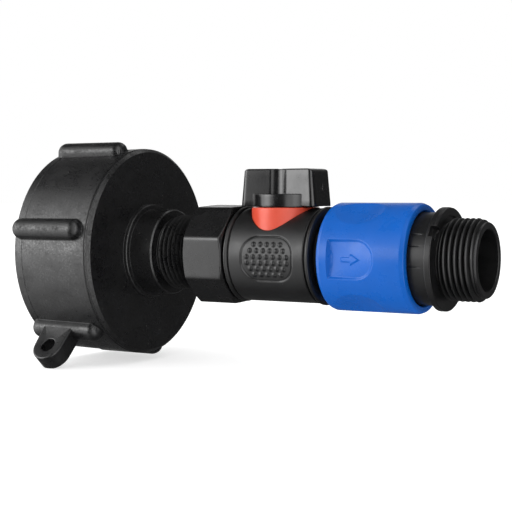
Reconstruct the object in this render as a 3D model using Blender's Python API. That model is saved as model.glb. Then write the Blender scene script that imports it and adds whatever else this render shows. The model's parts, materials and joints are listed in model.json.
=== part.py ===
"""Tank outlet adapter: a threaded tank cap, a swivel nut, a quarter-turn ball valve and a quick coupling.

World frame in metres. +X runs along the pipe from the tank to the hose side, +Z points at the valve handle.
The origin is the centre of the open rim of the tank cap. The valve is modelled open and the coupling locked.
"""
import math

import bmesh
import bpy
from mathutils import Matrix, Vector

for old in list(bpy.data.objects):
    bpy.data.objects.remove(old, do_unlink=True)

MM = 0.001
GAP = 0.3
SEG = 24
SEG_CAP = 36
SEG_SMALL = 16

# Tank cap, S60 x 6 buttress thread inside, six grip ribs and one tether eye outside.
CAP_FACE_X = 32.9
CAP_R_RIM = 36.5
CAP_R_FRONT = 37.1
CAP_WALL_X = 27.9
CAP_THREAD_PITCH = 6.0
CAP_THREAD_MINOR = 27.7
CAP_THREAD_MAJOR = 30.4
GASKET_THICK = 3.6
GASKET_R = 27.2
GASKET_BORE = 11.0
RIB_COUNT = 6
RIB_R = 3.6
RIB_LIFT = 0.7
RIB_START_X = 0.1
RIB_END_X = 29.7
RIB_ANGLE = 13.5
EYE_X = 13.1
EYE_FOOT = 33.5
EYE_REACH = 45.6
EYE_HALF_WIDTH = 6.0
EYE_THICK = 6.5
EYE_HOLE_R = 3.1

# Stub of the cap with the first G3/4 thread.
COLLAR_R = 17.06
COLLAR_X = CAP_FACE_X + 1.4
NECK_R = 15.18
NECK_END_X = 43.4
STUB_END_X = 65.3
STUB_BORE = 9.5
WASHER_THICK = 2.0
WASHER_R = 11.8
WASHER_BORE = 9.8
G34_PITCH = 1.814
G34_MAJOR = 13.22
G34_MINOR = 11.95
G34_PLAY = 0.4

# Swivel nut, octagonal.
NUT_START_X = 57.5
NUT_END_X = 72.9
NUT_FLAT = 17.0
NUT_TURN = -3.2
NUT_LIP = 2.2
NUT_CHAMFER = 0.9
NUT_THREAD_END_X = 68.4

# Valve.
BALL_X = 88.9
BALL_R = 11.2
BALL_BORE = 8.0
BODY_START_X = 73.2
BODY_END_X = 105.8
BODY_R = 16.0
BEAD_R = 16.45
BEAD_SIDE_R = 15.75
BEAD_GROOVE_R = 15.3
CHAMBER_R = 13.0
SEAT_FRONT = 4.7
SEAT_BACK = 9.6
TAIL_R = 10.4
TAIL_FLANGE_R = 12.0
PAD_X = BALL_X + 1.0
PAD_Z = -0.8
PAD_HALF_L = 9.7
PAD_HALF_H = 7.7
PAD_CORNER_R = 6.4
PAD_FLOOR_R = 15.6

# Stem, its seals, its square end for the handle and its key in the ball.
STEM_R = 3.6
STEM_BOTTOM = 12.4
STEM_TOP = 25.0
SHOULDER_R = 4.4
SHOULDER_BOTTOM = 11.5
SHOULDER_TOP = 12.9
KEY_HALF_L = 2.2
KEY_HALF_W = 3.8
KEY_BOTTOM = 9.2
SEAL_LEVELS = (14.7, 17.4)
SEAL_MEAN_R = 3.17
SEAL_WIRE_R = 0.5
SEAL_GROOVE_R = 2.5
SEAL_GROOVE_HALF = 0.75
SQUARE_HALF = 2.9
SQUARE_BOTTOM = 19.3

# Boss of the body, red ring round it, handle and screw.
BOSS_R = 6.3
BOSS_TOP = 19.4
RING_RX = 11.3
RING_RY = 13.2
RING_TOP = 16.2
RING_SEAT_R = 14.6
HANDLE_BOTTOM = 16.6
HANDLE_TOP = 29.25
HANDLE_HALF_L = 14.4
HANDLE_HALF_T = 6.3
HANDLE_DRAFT = 1.1
HANDLE_FACE_DRAFT = 0.35
HUB_R = 11.2
HUB_TOP = 20.6
FLUTE_R = 3.6
FLUTE_OUT = 2.0
SCREW_HEAD_R = 3.6
SCREW_HEAD_BOTTOM = 26.9
SCREW_HEAD_TOP = 28.7
SCREW_R = 1.4
SCREW_TIP = 21.2

# Quick coupling.
NIPPLE_COLLAR_R = 14.4
NIPPLE_COLLAR_L = 1.5
NIPPLE_GROOVE_R = 8.6
NIPPLE_RIDGE_R = 10.4
NIPPLE_RIDGE_X = 111.7
NIPPLE_RIDGE_L = 2.3
NIPPLE_TIP_R = 9.4
NIPPLE_TIP_X = 115.4
NIPPLE_SEAL_X = 119.5
NIPPLE_SEAL_HALF = 1.1
NIPPLE_SEAL_R = 7.8
NIPPLE_END_X = 125.0
NIPPLE_BORE = 6.4
CLAW_R = 12.3
CLAW_BORE = 10.75
CLAW_HOOK_R = 8.9
CLAW_HOOK_END_X = 111.4
CLAW_END_X = 118.0
CLAW_SLOT_END_X = 115.2
SLEEVE_START_X = 108.9
SLEEVE_END_X = 139.7
SLEEVE_R = 17.9
SLEEVE_BORE = 15.2
SLEEVE_LIP_R = 12.7
SLEEVE_LIP_END_X = 113.2
SLEEVE_TRAVEL = 5.5
RECESS_COUNT = 6
RECESS_START_X = 112.9
RECESS_BEND_X = 124.3
RECESS_ROUND_L = 4.9
RECESS_HALF = 6.5
RECESS_FLOOR = 15.95
RECESS_SLOPE = 4.6
SPRING_COILS = 4.5
SPRING_WIRE_R = 0.75
SPRING_MEAN_R = 13.95
SPRING_START_X = 113.5
BARREL_R = 14.9
BARREL_START_X = 127.0
COUPLER_START_X = 118.3
COUPLER_NECK_R = 12.2
STOP_GROOVE_X = 135.8
STOP_GROOVE_L = 1.6
STOP_GROOVE_R = 13.8
STOP_RING_R = 16.0
STOP_ROOM_R = 16.3
FLANGE_START_X = 145.6
FLANGE_END_X = 147.7
FLANGE_R = 16.6
OUTLET_END_X = 160.8
OUTLET_BORE = 9.86
LUG_R = 16.45
LUG_START = 38.0
LUG_SWEEP = 104.0
NOTCH_TURN = -35.0


def material(name, colour, roughness, metallic=0.0):
    mat = bpy.data.materials.new(name)
    mat.use_nodes = True
    shader = mat.node_tree.nodes["Principled BSDF"]
    shader.inputs["Base Color"].default_value = (*colour, 1.0)
    shader.inputs["Roughness"].default_value = roughness
    shader.inputs["Metallic"].default_value = metallic
    return mat


BLACK = (0.02, 0.02, 0.021)
RUBBER = (0.012, 0.012, 0.012)


def finish(bm, name, mat, origin=(0.0, 0.0, 0.0)):
    """Weld, orient and store a body whose coordinates are in millimetres."""
    bmesh.ops.remove_doubles(bm, verts=bm.verts, dist=0.002)
    bmesh.ops.dissolve_degenerate(bm, edges=bm.edges, dist=0.0005)
    bmesh.ops.recalc_face_normals(bm, faces=bm.faces)
    shift = Vector(origin)
    for vert in bm.verts:
        vert.co = (vert.co - shift) * MM
    mesh = bpy.data.meshes.new(name)
    bm.to_mesh(mesh)
    bm.free()
    mesh.materials.append(mat)
    obj = bpy.data.objects.new(name, mesh)
    obj.location = shift * MM
    bpy.context.scene.collection.objects.link(obj)
    return obj


def boolean(obj, tool, operation):
    """Apply one exact boolean to obj and remove the tool."""
    mod = obj.modifiers.new("Cut", "BOOLEAN")
    mod.operation = operation
    mod.solver = "EXACT"
    mod.object = tool
    bpy.context.view_layer.update()
    graph = bpy.context.evaluated_depsgraph_get()
    mesh = bpy.data.meshes.new_from_object(obj.evaluated_get(graph))
    obj.modifiers.clear()
    obj.data = mesh
    bpy.data.objects.remove(tool, do_unlink=True)
    bm = bmesh.new()
    bm.from_mesh(mesh)
    bmesh.ops.remove_doubles(bm, verts=bm.verts, dist=1e-6)
    bmesh.ops.dissolve_degenerate(bm, edges=bm.edges, dist=1e-7)
    bmesh.ops.dissolve_limit(bm, angle_limit=0.002, verts=bm.verts, edges=bm.edges)
    bm.to_mesh(mesh)
    bm.free()
    return obj


def thread(start_x, end_x, base, peak, pitch, steps, seg, inside=False):
    """Rows of a right-hand helical thread; steps holds (phase, height) pairs, height 0 base and 1 peak.

    An outside thread runs out into its root at both ends and an inside thread runs out into its groove.
    """
    run_out = peak if inside else base
    rows = []
    first = math.floor(start_x / pitch) - 1
    last = math.ceil(end_x / pitch) + 1
    for turn in range(first, last + 1):
        for phase, height in steps:
            row = []
            for col in range(seg + 1):
                x = pitch * (turn + phase + col / seg)
                inward = min(x - start_x, end_x - x)
                fade = min(1.0, max(0.0, inward / (0.6 * pitch)))
                full = base + (peak - base) * height
                row.append((min(max(x, start_x), end_x), run_out + (full - run_out) * fade))
            rows.append(row)
    if inside:
        rows.reverse()
    return rows


def spin(name, profile, mat, seg=SEG, closed=True):
    """Turn a section about the X axis; a profile entry is one (x, r) point or a list of thread rows."""
    rows = []
    for entry in profile:
        if isinstance(entry, tuple):
            rows.append([entry] * (seg + 1))
        else:
            rows.extend(entry)
    bm = bmesh.new()
    grid = []
    for row in rows:
        line = []
        for col, (x, r) in enumerate(row):
            turn = 2.0 * math.pi * col / seg
            line.append(bm.verts.new((x, r * math.cos(turn), r * math.sin(turn))))
        grid.append(line)
    count = len(grid)
    for i in range(count if closed else count - 1):
        here = grid[i]
        there = grid[(i + 1) % count]
        for col in range(seg):
            bm.faces.new((here[col], here[col + 1], there[col + 1], there[col]))
    return finish(bm, name, mat)


def prism(name, outline, low, high, axis, mat=None):
    """Extrude a closed outline of two-dimensional points between low and high along one axis."""
    bm = bmesh.new()
    ends = []
    for level in (low, high):
        ring = []
        for a, b in outline:
            point = {"X": (level, a, b), "Y": (a, level, b), "Z": (a, b, level)}[axis]
            ring.append(bm.verts.new(point))
        ends.append(ring)
    count = len(outline)
    bm.faces.new(ends[0])
    bm.faces.new(ends[1])
    for i in range(count):
        j = (i + 1) % count
        bm.faces.new((ends[0][i], ends[0][j], ends[1][j], ends[1][i]))
    return finish(bm, name, mat or CUTTER)


def round_outline(cx, cy, rx, ry, seg=SEG, start=0.0):
    points = []
    for i in range(seg):
        turn = start + 2.0 * math.pi * i / seg
        points.append((cx + rx * math.cos(turn), cy + ry * math.sin(turn)))
    return points


def rounded_box(cx, cy, half_x, half_y, radius, steps=4):
    points = []
    corners = ((1, 1, 0.0), (-1, 1, 90.0), (-1, -1, 180.0), (1, -1, 270.0))
    for sx, sy, base in corners:
        for i in range(steps + 1):
            turn = math.radians(base + 90.0 * i / steps)
            px = cx + sx * (half_x - radius) + radius * math.cos(turn)
            py = cy + sy * (half_y - radius) + radius * math.sin(turn)
            points.append((px, py))
    return points


def box_outline(cx, cy, half_x, half_y):
    return [(cx + sx * half_x, cy + sy * half_y) for sx, sy in ((1, 1), (-1, 1), (-1, -1), (1, -1))]


def turn_about_x(obj, degrees):
    obj.data.transform(Matrix.Rotation(math.radians(degrees), 4, "X"))
    return obj


def drum(radius):
    """A plain cylinder about the X axis, longer than the valve."""
    return spin("drum", [(70.0, 0.0), (70.0, radius), (110.0, radius), (110.0, 0.0)], CUTTER, 40, False)


def disc(name, radius, low, high, seg=SEG, mat=None):
    """An upright cylinder on the axis of the valve's stem."""
    return prism(name, round_outline(BALL_X, 0.0, radius, radius, seg), low, high, "Z", mat)


def set_origin(obj, x, y, z):
    """Put the object's origin at a world point given in millimetres."""
    offset = Vector((x, y, z)) * MM - obj.location
    obj.data.transform(Matrix.Translation(-offset))
    obj.location = obj.location + offset
    return obj


CUTTER = material("cutter_grey", (0.5, 0.5, 0.5), 0.5)
V_STEPS = ((0.0, 0.0), (0.5, 1.0))
BUTTRESS_STEPS = ((0.0, 0.0), (0.26, 0.0), (0.34, 1.0), (0.62, 1.0))


def capsule(name, start_x, end_x, radius, reach, seg=12, rings=3):
    """A bar with domed ends lying along X at a distance reach from the axis, on the +Y side."""
    bm = bmesh.new()
    rows = []
    for side, centre in ((-1, start_x + radius), (1, end_x - radius)):
        order = range(rings, -1, -1) if side < 0 else range(rings + 1)
        for i in order:
            tilt = 0.5 * math.pi * i / rings
            rows.append((centre + side * radius * math.sin(tilt), radius * math.cos(tilt)))
    lines = []
    for x, r in rows:
        if r < 1e-6:
            lines.append([bm.verts.new((x, reach, 0.0))])
            continue
        ring = []
        for k in range(seg):
            turn = 2.0 * math.pi * k / seg
            ring.append(bm.verts.new((x, reach + r * math.cos(turn), r * math.sin(turn))))
        lines.append(ring)
    for a, b in zip(lines, lines[1:]):
        for k in range(seg):
            n = (k + 1) % seg
            if len(a) == 1:
                bm.faces.new((a[0], b[k], b[n]))
            elif len(b) == 1:
                bm.faces.new((a[k], b[0], a[n]))
            else:
                bm.faces.new((a[k], a[n], b[n], b[k]))
    return finish(bm, name, CUTTER)


def tank_cap():
    stub = thread(NECK_END_X + 1.1, STUB_END_X - 0.9, G34_MINOR, G34_MAJOR, G34_PITCH, V_STEPS, SEG_CAP)
    minor = CAP_THREAD_MINOR
    major = CAP_THREAD_MAJOR
    inside = thread(1.2, 24.6, minor, major, CAP_THREAD_PITCH, BUTTRESS_STEPS, SEG_CAP, True)
    profile = [
        (0.0, CAP_R_RIM - 0.5),
        (0.5, CAP_R_RIM),
        (CAP_FACE_X - 1.1, CAP_R_FRONT),
        (CAP_FACE_X, CAP_R_FRONT - 1.6),
        (CAP_FACE_X, COLLAR_R),
        (COLLAR_X, COLLAR_R - 0.9),
        (COLLAR_X, NECK_R),
        (NECK_END_X - 0.4, NECK_R),
        (NECK_END_X, NECK_R - 0.4),
        (NECK_END_X, G34_MINOR),
        stub,
        (STUB_END_X, G34_MINOR - 0.5),
        (STUB_END_X, STUB_BORE),
        (CAP_WALL_X, STUB_BORE),
        (CAP_WALL_X, major),
        inside,
        (0.0, major + 1.2),
    ]
    cap = spin("tank_cap", profile, PLASTIC_CAP, SEG_CAP)
    for i in range(RIB_COUNT):
        rib = capsule("rib", RIB_START_X, RIB_END_X, RIB_R, CAP_R_RIM + RIB_LIFT)
        turn_about_x(rib, 180.0 - RIB_ANGLE - 360.0 / RIB_COUNT * i)
        boolean(cap, rib, "UNION")
    eye_turn = 180.0 - RIB_ANGLE + 360.0 / RIB_COUNT
    outline = [(EYE_X - EYE_HALF_WIDTH, EYE_FOOT), (EYE_X + EYE_HALF_WIDTH, EYE_FOOT)]
    for i in range(13):
        turn = math.pi * i / 12
        outline.append((EYE_X + EYE_HALF_WIDTH * math.cos(turn), EYE_REACH + EYE_HALF_WIDTH * math.sin(turn)))
    eye = prism("eye", outline, -EYE_THICK / 2, EYE_THICK / 2, "Z")
    boolean(cap, turn_about_x(eye, eye_turn), "UNION")
    outline = round_outline(EYE_X, EYE_REACH, EYE_HOLE_R, EYE_HOLE_R, 20)
    hole = prism("hole", outline, -EYE_THICK, EYE_THICK, "Z")
    return boolean(cap, turn_about_x(hole, eye_turn), "DIFFERENCE")


def tank_gasket():
    far = CAP_WALL_X - GAP
    near = far - GASKET_THICK
    profile = [
        (near, GASKET_BORE + 0.3),
        (near, GASKET_R - 0.3),
        (near + 0.3, GASKET_R),
        (far, GASKET_R),
        (far, GASKET_BORE),
        (near + 0.3, GASKET_BORE),
    ]
    return spin("tank_gasket", profile, RUBBER_GASKET, SEG_CAP)


def swivel_nut():
    corner = NUT_FLAT / math.cos(math.radians(22.5))
    minor = G34_MINOR + G34_PLAY
    major = G34_MAJOR + G34_PLAY
    grip = thread(NUT_START_X + 0.4, NUT_THREAD_END_X, minor, major, G34_PITCH, V_STEPS, SEG_CAP, True)
    lip_x = NUT_END_X - NUT_LIP
    profile = [
        (NUT_START_X, NUT_FLAT + 0.1),
        (NUT_START_X + NUT_CHAMFER, corner + 0.05),
        (NUT_END_X - NUT_CHAMFER, corner + 0.05),
        (NUT_END_X, NUT_FLAT + 0.1),
        (NUT_END_X, TAIL_R + GAP),
        (lip_x, TAIL_R + GAP),
        (lip_x, major),
        grip,
        (NUT_START_X, major + 0.4),
    ]
    nut = spin("swivel_nut", profile, PLASTIC_NUT, SEG_CAP)
    octagon = round_outline(0.0, 0.0, corner, corner, 8, math.radians(22.5))
    flats = prism("flats", octagon, NUT_START_X - 5.0, NUT_END_X + 5.0, "X")
    return boolean(nut, turn_about_x(flats, 180.0 - NUT_TURN), "INTERSECT")


def nut_washer():
    start = STUB_END_X + GAP
    end = start + WASHER_THICK
    profile = [(start, WASHER_BORE), (start, WASHER_R), (end, WASHER_R), (end, WASHER_BORE)]
    return spin("nut_washer", profile, RUBBER_WASHER)


def inlet_tail():
    start = STUB_END_X + WASHER_THICK + 2 * GAP
    shoulder = NUT_END_X - NUT_LIP - GAP
    end = BALL_X - SEAT_BACK - 2 * GAP
    profile = [
        (start, BALL_BORE),
        (start, TAIL_FLANGE_R - 0.3),
        (start + 0.3, TAIL_FLANGE_R),
        (shoulder, TAIL_FLANGE_R),
        (shoulder, TAIL_R),
        (end, TAIL_R),
        (end, BALL_BORE),
    ]
    return spin("inlet_tail", profile, PLASTIC_TAIL)


def bead(end, inward):
    """The rounded bead at one end of the valve body and the groove beside it, from the end inwards."""
    steps = (
        (0.0, BEAD_SIDE_R),
        (0.5, BEAD_R),
        (1.1, BEAD_R),
        (1.6, BEAD_SIDE_R),
        (1.7, BEAD_GROOVE_R),
        (2.2, BEAD_GROOVE_R),
        (2.4, BODY_R),
    )
    return [(end + inward * x, r) for x, r in steps]


def valve_body():
    shoulder = BALL_X - SEAT_BACK - GAP
    profile = [(BODY_START_X, TAIL_R + GAP)]
    profile += bead(BODY_START_X, 1)
    profile += reversed(bead(BODY_END_X, -1))
    profile += [(BODY_END_X, CHAMBER_R), (shoulder, CHAMBER_R), (shoulder, TAIL_R + GAP)]
    body = spin("valve_body", profile, PLASTIC_BODY, 32)
    pocket = prism("pocket", round_outline(BALL_X, 0.0, RING_RX + GAP, RING_RY + GAP, 40), 4.0, 22.0, "Z")
    boolean(pocket, drum(RING_SEAT_R), "DIFFERENCE")
    boolean(body, pocket, "DIFFERENCE")
    boolean(body, disc("boss", BOSS_R, CHAMBER_R + 0.4, BOSS_TOP), "UNION")
    boolean(body, disc("bore", STEM_R + GAP, 8.0, 24.0, SEG_SMALL), "DIFFERENCE")
    boolean(body, disc("seat", SHOULDER_R + GAP, 8.0, SHOULDER_TOP + GAP, SEG_SMALL), "DIFFERENCE")
    for side in (-1, 1):
        outline = rounded_box(PAD_X, PAD_Z, PAD_HALF_L, PAD_HALF_H, PAD_CORNER_R)
        pad = prism("pad", outline, side * 8.0, side * 20.0, "Y")
        boolean(pad, drum(PAD_FLOOR_R), "DIFFERENCE")
        boolean(body, pad, "DIFFERENCE")
    return body


def valve_ball():
    rows = []
    steps = 7
    low = math.asin(BALL_BORE / BALL_R)
    for i in range(steps + 1):
        tilt = low + (math.pi - 2.0 * low) * i / steps
        rows.append((BALL_X - BALL_R * math.cos(tilt), BALL_R * math.sin(tilt)))
    ball = spin("valve_ball", rows, PLASTIC_BALL)
    slot = prism("slot", box_outline(BALL_X, 0.0, KEY_HALF_L + GAP, 14.0), KEY_BOTTOM - GAP, 14.0, "Z")
    boolean(ball, slot, "DIFFERENCE")
    return set_origin(ball, BALL_X, 0.0, 0.0)


def seat_ring(name, side):
    reach = BALL_R + GAP
    profile = [(SEAT_BACK, BALL_BORE), (SEAT_BACK, CHAMBER_R - GAP), (SEAT_FRONT, CHAMBER_R - GAP)]
    low = math.asin(BALL_BORE / reach)
    high = math.acos(SEAT_FRONT / reach)
    for i in range(4):
        tilt = high + (low - high) * i / 3
        profile.append((reach * math.cos(tilt), reach * math.sin(tilt)))
    placed = [(BALL_X + side * x, r) for x, r in profile]
    return spin(name, placed, SEAT_PLASTIC)


def valve_stem():
    stem = disc("valve_stem", STEM_R, STEM_BOTTOM, STEM_TOP, SEG_SMALL, STEM_PLASTIC)
    boolean(stem, disc("shoulder", SHOULDER_R, SHOULDER_BOTTOM, SHOULDER_TOP, SEG_SMALL), "UNION")
    key = prism("key", box_outline(BALL_X, 0.0, KEY_HALF_L, KEY_HALF_W), KEY_BOTTOM, STEM_BOTTOM - 0.4, "Z")
    boolean(stem, key, "UNION")
    for level in SEAL_LEVELS:
        groove = disc("groove", STEM_R + 1.4, level - SEAL_GROOVE_HALF, level + SEAL_GROOVE_HALF, SEG_SMALL)
        boolean(groove, disc("core", SEAL_GROOVE_R, 10.0, STEM_TOP, SEG_SMALL), "DIFFERENCE")
        boolean(stem, groove, "DIFFERENCE")
    square = disc("flats", STEM_R + 2.4, SQUARE_BOTTOM, STEM_TOP + 2.0, SEG_SMALL)
    outline = box_outline(BALL_X, 0.0, SQUARE_HALF, SQUARE_HALF)
    core = prism("core", outline, SQUARE_BOTTOM - 1.0, STEM_TOP + 3.0, "Z")
    boolean(square, core, "DIFFERENCE")
    boolean(stem, square, "DIFFERENCE")
    boolean(stem, disc("hole", SCREW_R + GAP, SCREW_TIP - 0.6, STEM_TOP + 2.0, 12), "DIFFERENCE")
    return set_origin(stem, BALL_X, 0.0, 0.0)


def seal_ring(name, centre, mean_r, wire_r, upright, seg, sides):
    """A round-section ring about the pipe at a given x, or about the stem at a given z."""
    bm = bmesh.new()
    grid = []
    for i in range(seg):
        turn = 2.0 * math.pi * i / seg
        line = []
        for k in range(sides):
            tilt = 2.0 * math.pi * (k + 0.5) / sides
            r = mean_r + wire_r * math.cos(tilt)
            offset = centre + wire_r * math.sin(tilt)
            across = r * math.cos(turn)
            along = r * math.sin(turn)
            line.append(bm.verts.new((BALL_X + across, along, offset) if upright else (offset, across, along)))
        grid.append(line)
    for i in range(seg):
        for k in range(sides):
            n = (i + 1) % seg
            m = (k + 1) % sides
            bm.faces.new((grid[i][k], grid[n][k], grid[n][m], grid[i][m]))
    return finish(bm, name, RUBBER_SEAL)


def stem_ring():
    ring = prism("stem_ring", round_outline(BALL_X, 0.0, RING_RX, RING_RY, 40), 4.0, RING_TOP, "Z", RED_PLASTIC)
    boolean(ring, drum(RING_SEAT_R + GAP), "DIFFERENCE")
    return boolean(ring, disc("hole", BOSS_R + GAP, 4.0, 22.0), "DIFFERENCE")


def valve_handle():
    bm = bmesh.new()
    ends = []
    for level, share in ((HANDLE_BOTTOM, 0.0), (HANDLE_TOP, 1.0)):
        half_l = HANDLE_HALF_L - HANDLE_DRAFT * share
        half_t = HANDLE_HALF_T - HANDLE_FACE_DRAFT * share
        outline = rounded_box(BALL_X, 0.0, half_l, half_t, 1.6, 3)
        ends.append([bm.verts.new((x, y, level)) for x, y in outline])
    count = len(ends[0])
    bm.faces.new(ends[0])
    top = bm.faces.new(ends[1])
    for i in range(count):
        j = (i + 1) % count
        bm.faces.new((ends[0][i], ends[0][j], ends[1][j], ends[1][i]))
    bmesh.ops.bevel(bm, geom=list(top.edges), offset=0.8, segments=2, profile=0.5, affect="EDGES")
    handle = finish(bm, "valve_handle", HANDLE_PLASTIC)
    boolean(handle, disc("hub", HUB_R, HANDLE_BOTTOM, HUB_TOP), "UNION")
    for side in (-1, 1):
        outline = round_outline(BALL_X, side * (HANDLE_HALF_T + FLUTE_OUT), FLUTE_R, FLUTE_R, 20)
        boolean(handle, prism("flute", outline, HUB_TOP, HANDLE_TOP + 2.0, "Z"), "DIFFERENCE")
    boolean(handle, disc("well", BOSS_R + GAP, 10.0, BOSS_TOP + GAP, 28), "DIFFERENCE")
    square = rounded_box(BALL_X, 0.0, SQUARE_HALF + GAP, SQUARE_HALF + GAP, 1.2, 2)
    boolean(handle, prism("socket", square, 15.0, STEM_TOP + GAP, "Z"), "DIFFERENCE")
    boolean(handle, disc("recess", SCREW_HEAD_R + 0.5, SCREW_HEAD_BOTTOM - GAP, 32.0, 20), "DIFFERENCE")
    boolean(handle, disc("shank", SCREW_R + 0.4, 22.0, 30.0, 12), "DIFFERENCE")
    return set_origin(handle, BALL_X, 0.0, 0.0)


def handle_screw():
    screw = disc("handle_screw", SCREW_HEAD_R, SCREW_HEAD_BOTTOM, SCREW_HEAD_TOP, 20, STEEL)
    boolean(screw, disc("shank", SCREW_R, SCREW_TIP, SCREW_HEAD_BOTTOM + 0.5, 12), "UNION")
    for half_x, half_y in ((2.2, 0.4), (0.4, 2.2)):
        cross = prism("cross", box_outline(BALL_X, 0.0, half_x, half_y), SCREW_HEAD_TOP - 0.9, 30.0, "Z")
        boolean(screw, cross, "DIFFERENCE")
    return set_origin(screw, BALL_X, 0.0, 0.0)


def outlet_nipple():
    start = BALL_X + SEAT_BACK + GAP
    collar = BODY_END_X + GAP
    groove = collar + NIPPLE_COLLAR_L
    ridge_end = NIPPLE_RIDGE_X + NIPPLE_RIDGE_L
    profile = [
        (start, BALL_BORE),
        (start, CHAMBER_R - GAP),
        (collar, CHAMBER_R - GAP),
        (collar, NIPPLE_COLLAR_R),
        (groove, NIPPLE_COLLAR_R),
        (groove, NIPPLE_GROOVE_R),
        (NIPPLE_RIDGE_X, NIPPLE_GROOVE_R),
        (NIPPLE_RIDGE_X, NIPPLE_RIDGE_R),
        (ridge_end, NIPPLE_RIDGE_R),
        (NIPPLE_TIP_X, NIPPLE_TIP_R),
        (NIPPLE_SEAL_X - NIPPLE_SEAL_HALF, NIPPLE_TIP_R),
        (NIPPLE_SEAL_X - NIPPLE_SEAL_HALF, NIPPLE_SEAL_R),
        (NIPPLE_SEAL_X + NIPPLE_SEAL_HALF, NIPPLE_SEAL_R),
        (NIPPLE_SEAL_X + NIPPLE_SEAL_HALF, NIPPLE_TIP_R),
        (NIPPLE_END_X - 0.8, NIPPLE_TIP_R),
        (NIPPLE_END_X, NIPPLE_TIP_R - 0.8),
        (NIPPLE_END_X, NIPPLE_BORE),
        (start + 3.0, NIPPLE_BORE),
    ]
    return spin("outlet_nipple", profile, PLASTIC_NIPPLE)


def coupler_body():
    grip = thread(FLANGE_END_X + 0.7, OUTLET_END_X - 1.4, G34_MINOR, G34_MAJOR, G34_PITCH, V_STEPS, SEG)
    groove_end = STOP_GROOVE_X + STOP_GROOVE_L
    profile = [
        (COUPLER_START_X, OUTLET_BORE),
        (COUPLER_START_X, COUPLER_NECK_R),
        (BARREL_START_X, COUPLER_NECK_R),
        (BARREL_START_X, BARREL_R),
        (STOP_GROOVE_X, BARREL_R),
        (STOP_GROOVE_X, STOP_GROOVE_R),
        (groove_end, STOP_GROOVE_R),
        (groove_end, BARREL_R),
        (FLANGE_START_X, BARREL_R),
        (FLANGE_START_X, FLANGE_R - 0.3),
        (FLANGE_START_X + 0.3, FLANGE_R),
        (FLANGE_END_X - 0.3, FLANGE_R),
        (FLANGE_END_X, FLANGE_R - 0.3),
        (FLANGE_END_X, G34_MINOR),
        grip,
        (OUTLET_END_X - 0.6, G34_MINOR + 0.25),
        (OUTLET_END_X, G34_MINOR - 0.35),
        (OUTLET_END_X, OUTLET_BORE),
    ]
    coupler = spin("coupler_body", profile, PLASTIC_COUPLER)
    turns = [math.radians(LUG_START + LUG_SWEEP * i / 12) for i in range(13)]
    lug = [(LUG_R * math.cos(turn), LUG_R * math.sin(turn)) for turn in turns]
    lug += [(13.9 * math.cos(turn), 13.9 * math.sin(turn)) for turn in reversed(turns)]
    boolean(coupler, prism("lug", lug, FLANGE_END_X - 0.8, FLANGE_END_X + 0.6, "X"), "UNION")
    for side in (1, -1):
        outline = box_outline(side * 16.0, 0.0, 2.1, 2.0)
        notch = prism("notch", outline, FLANGE_START_X + 0.8, FLANGE_END_X + 2.3, "X")
        boolean(coupler, turn_about_x(notch, NOTCH_TURN), "DIFFERENCE")
    return set_origin(coupler, COUPLER_START_X, 0.0, 0.0)


def locking_claws():
    """A ring with four fingers whose hooks stand in the groove of the nipple."""
    profile = [
        (SLEEVE_START_X, CLAW_HOOK_R),
        (SLEEVE_START_X, CLAW_R),
        (CLAW_END_X, CLAW_R),
        (CLAW_END_X, CLAW_BORE),
        (CLAW_HOOK_END_X, CLAW_BORE),
        (CLAW_HOOK_END_X, CLAW_HOOK_R),
    ]
    claws = spin("locking_claws", profile, CLAW_PLASTIC)
    for i in range(4):
        slot = prism("slot", box_outline(0.0, 11.0, 2.4, 4.0), SLEEVE_START_X - 5.0, CLAW_SLOT_END_X, "X")
        boolean(claws, turn_about_x(slot, 90.0 * i), "DIFFERENCE")
    return set_origin(claws, COUPLER_START_X, 0.0, 0.0)


def recess_cutter():
    """A flat-bottomed thumb recess, square at the tank end, whose floor rises towards the hose end."""
    outline = [(0.0, -RECESS_HALF), (0.0, RECESS_HALF)]
    for i in range(9):
        turn = math.radians(90.0 - 180.0 * i / 8)
        bend = RECESS_BEND_X - RECESS_START_X
        outline.append((bend + RECESS_ROUND_L * math.cos(turn), RECESS_HALF * math.sin(turn)))
    recess = prism("recess", outline, 0.0, 8.0, "Z")
    slope = Matrix.Rotation(math.radians(-RECESS_SLOPE), 4, "Y")
    lift = Matrix.Translation(Vector((RECESS_START_X, 0.0, RECESS_FLOOR)) * MM)
    recess.data.transform(lift @ slope)
    return recess


def lock_sleeve():
    room_start = STOP_GROOVE_X - SLEEVE_TRAVEL
    room_end = STOP_GROOVE_X + STOP_GROOVE_L
    profile = [
        (SLEEVE_START_X, SLEEVE_LIP_R + 0.8),
        (SLEEVE_START_X, SLEEVE_R - 1.2),
        (SLEEVE_START_X + 0.35, SLEEVE_R - 0.35),
        (SLEEVE_START_X + 1.2, SLEEVE_R),
        (SLEEVE_END_X - 1.2, SLEEVE_R),
        (SLEEVE_END_X - 0.35, SLEEVE_R - 0.35),
        (SLEEVE_END_X, SLEEVE_R - 1.2),
        (SLEEVE_END_X, SLEEVE_BORE + 0.6),
        (SLEEVE_END_X - 0.6, SLEEVE_BORE),
        (room_end, SLEEVE_BORE),
        (room_end, STOP_ROOM_R),
        (room_start, STOP_ROOM_R),
        (room_start, SLEEVE_BORE),
        (SLEEVE_LIP_END_X, SLEEVE_BORE),
        (SLEEVE_LIP_END_X, SLEEVE_LIP_R),
        (SLEEVE_START_X + 0.8, SLEEVE_LIP_R),
    ]
    sleeve = spin("lock_sleeve", profile, BLUE_PLASTIC, SEG_CAP)
    for i in range(RECESS_COUNT):
        boolean(sleeve, turn_about_x(recess_cutter(), 90.0 + 360.0 / RECESS_COUNT * i), "DIFFERENCE")
    return set_origin(sleeve, SLEEVE_START_X, 0.0, 0.0)


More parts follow.
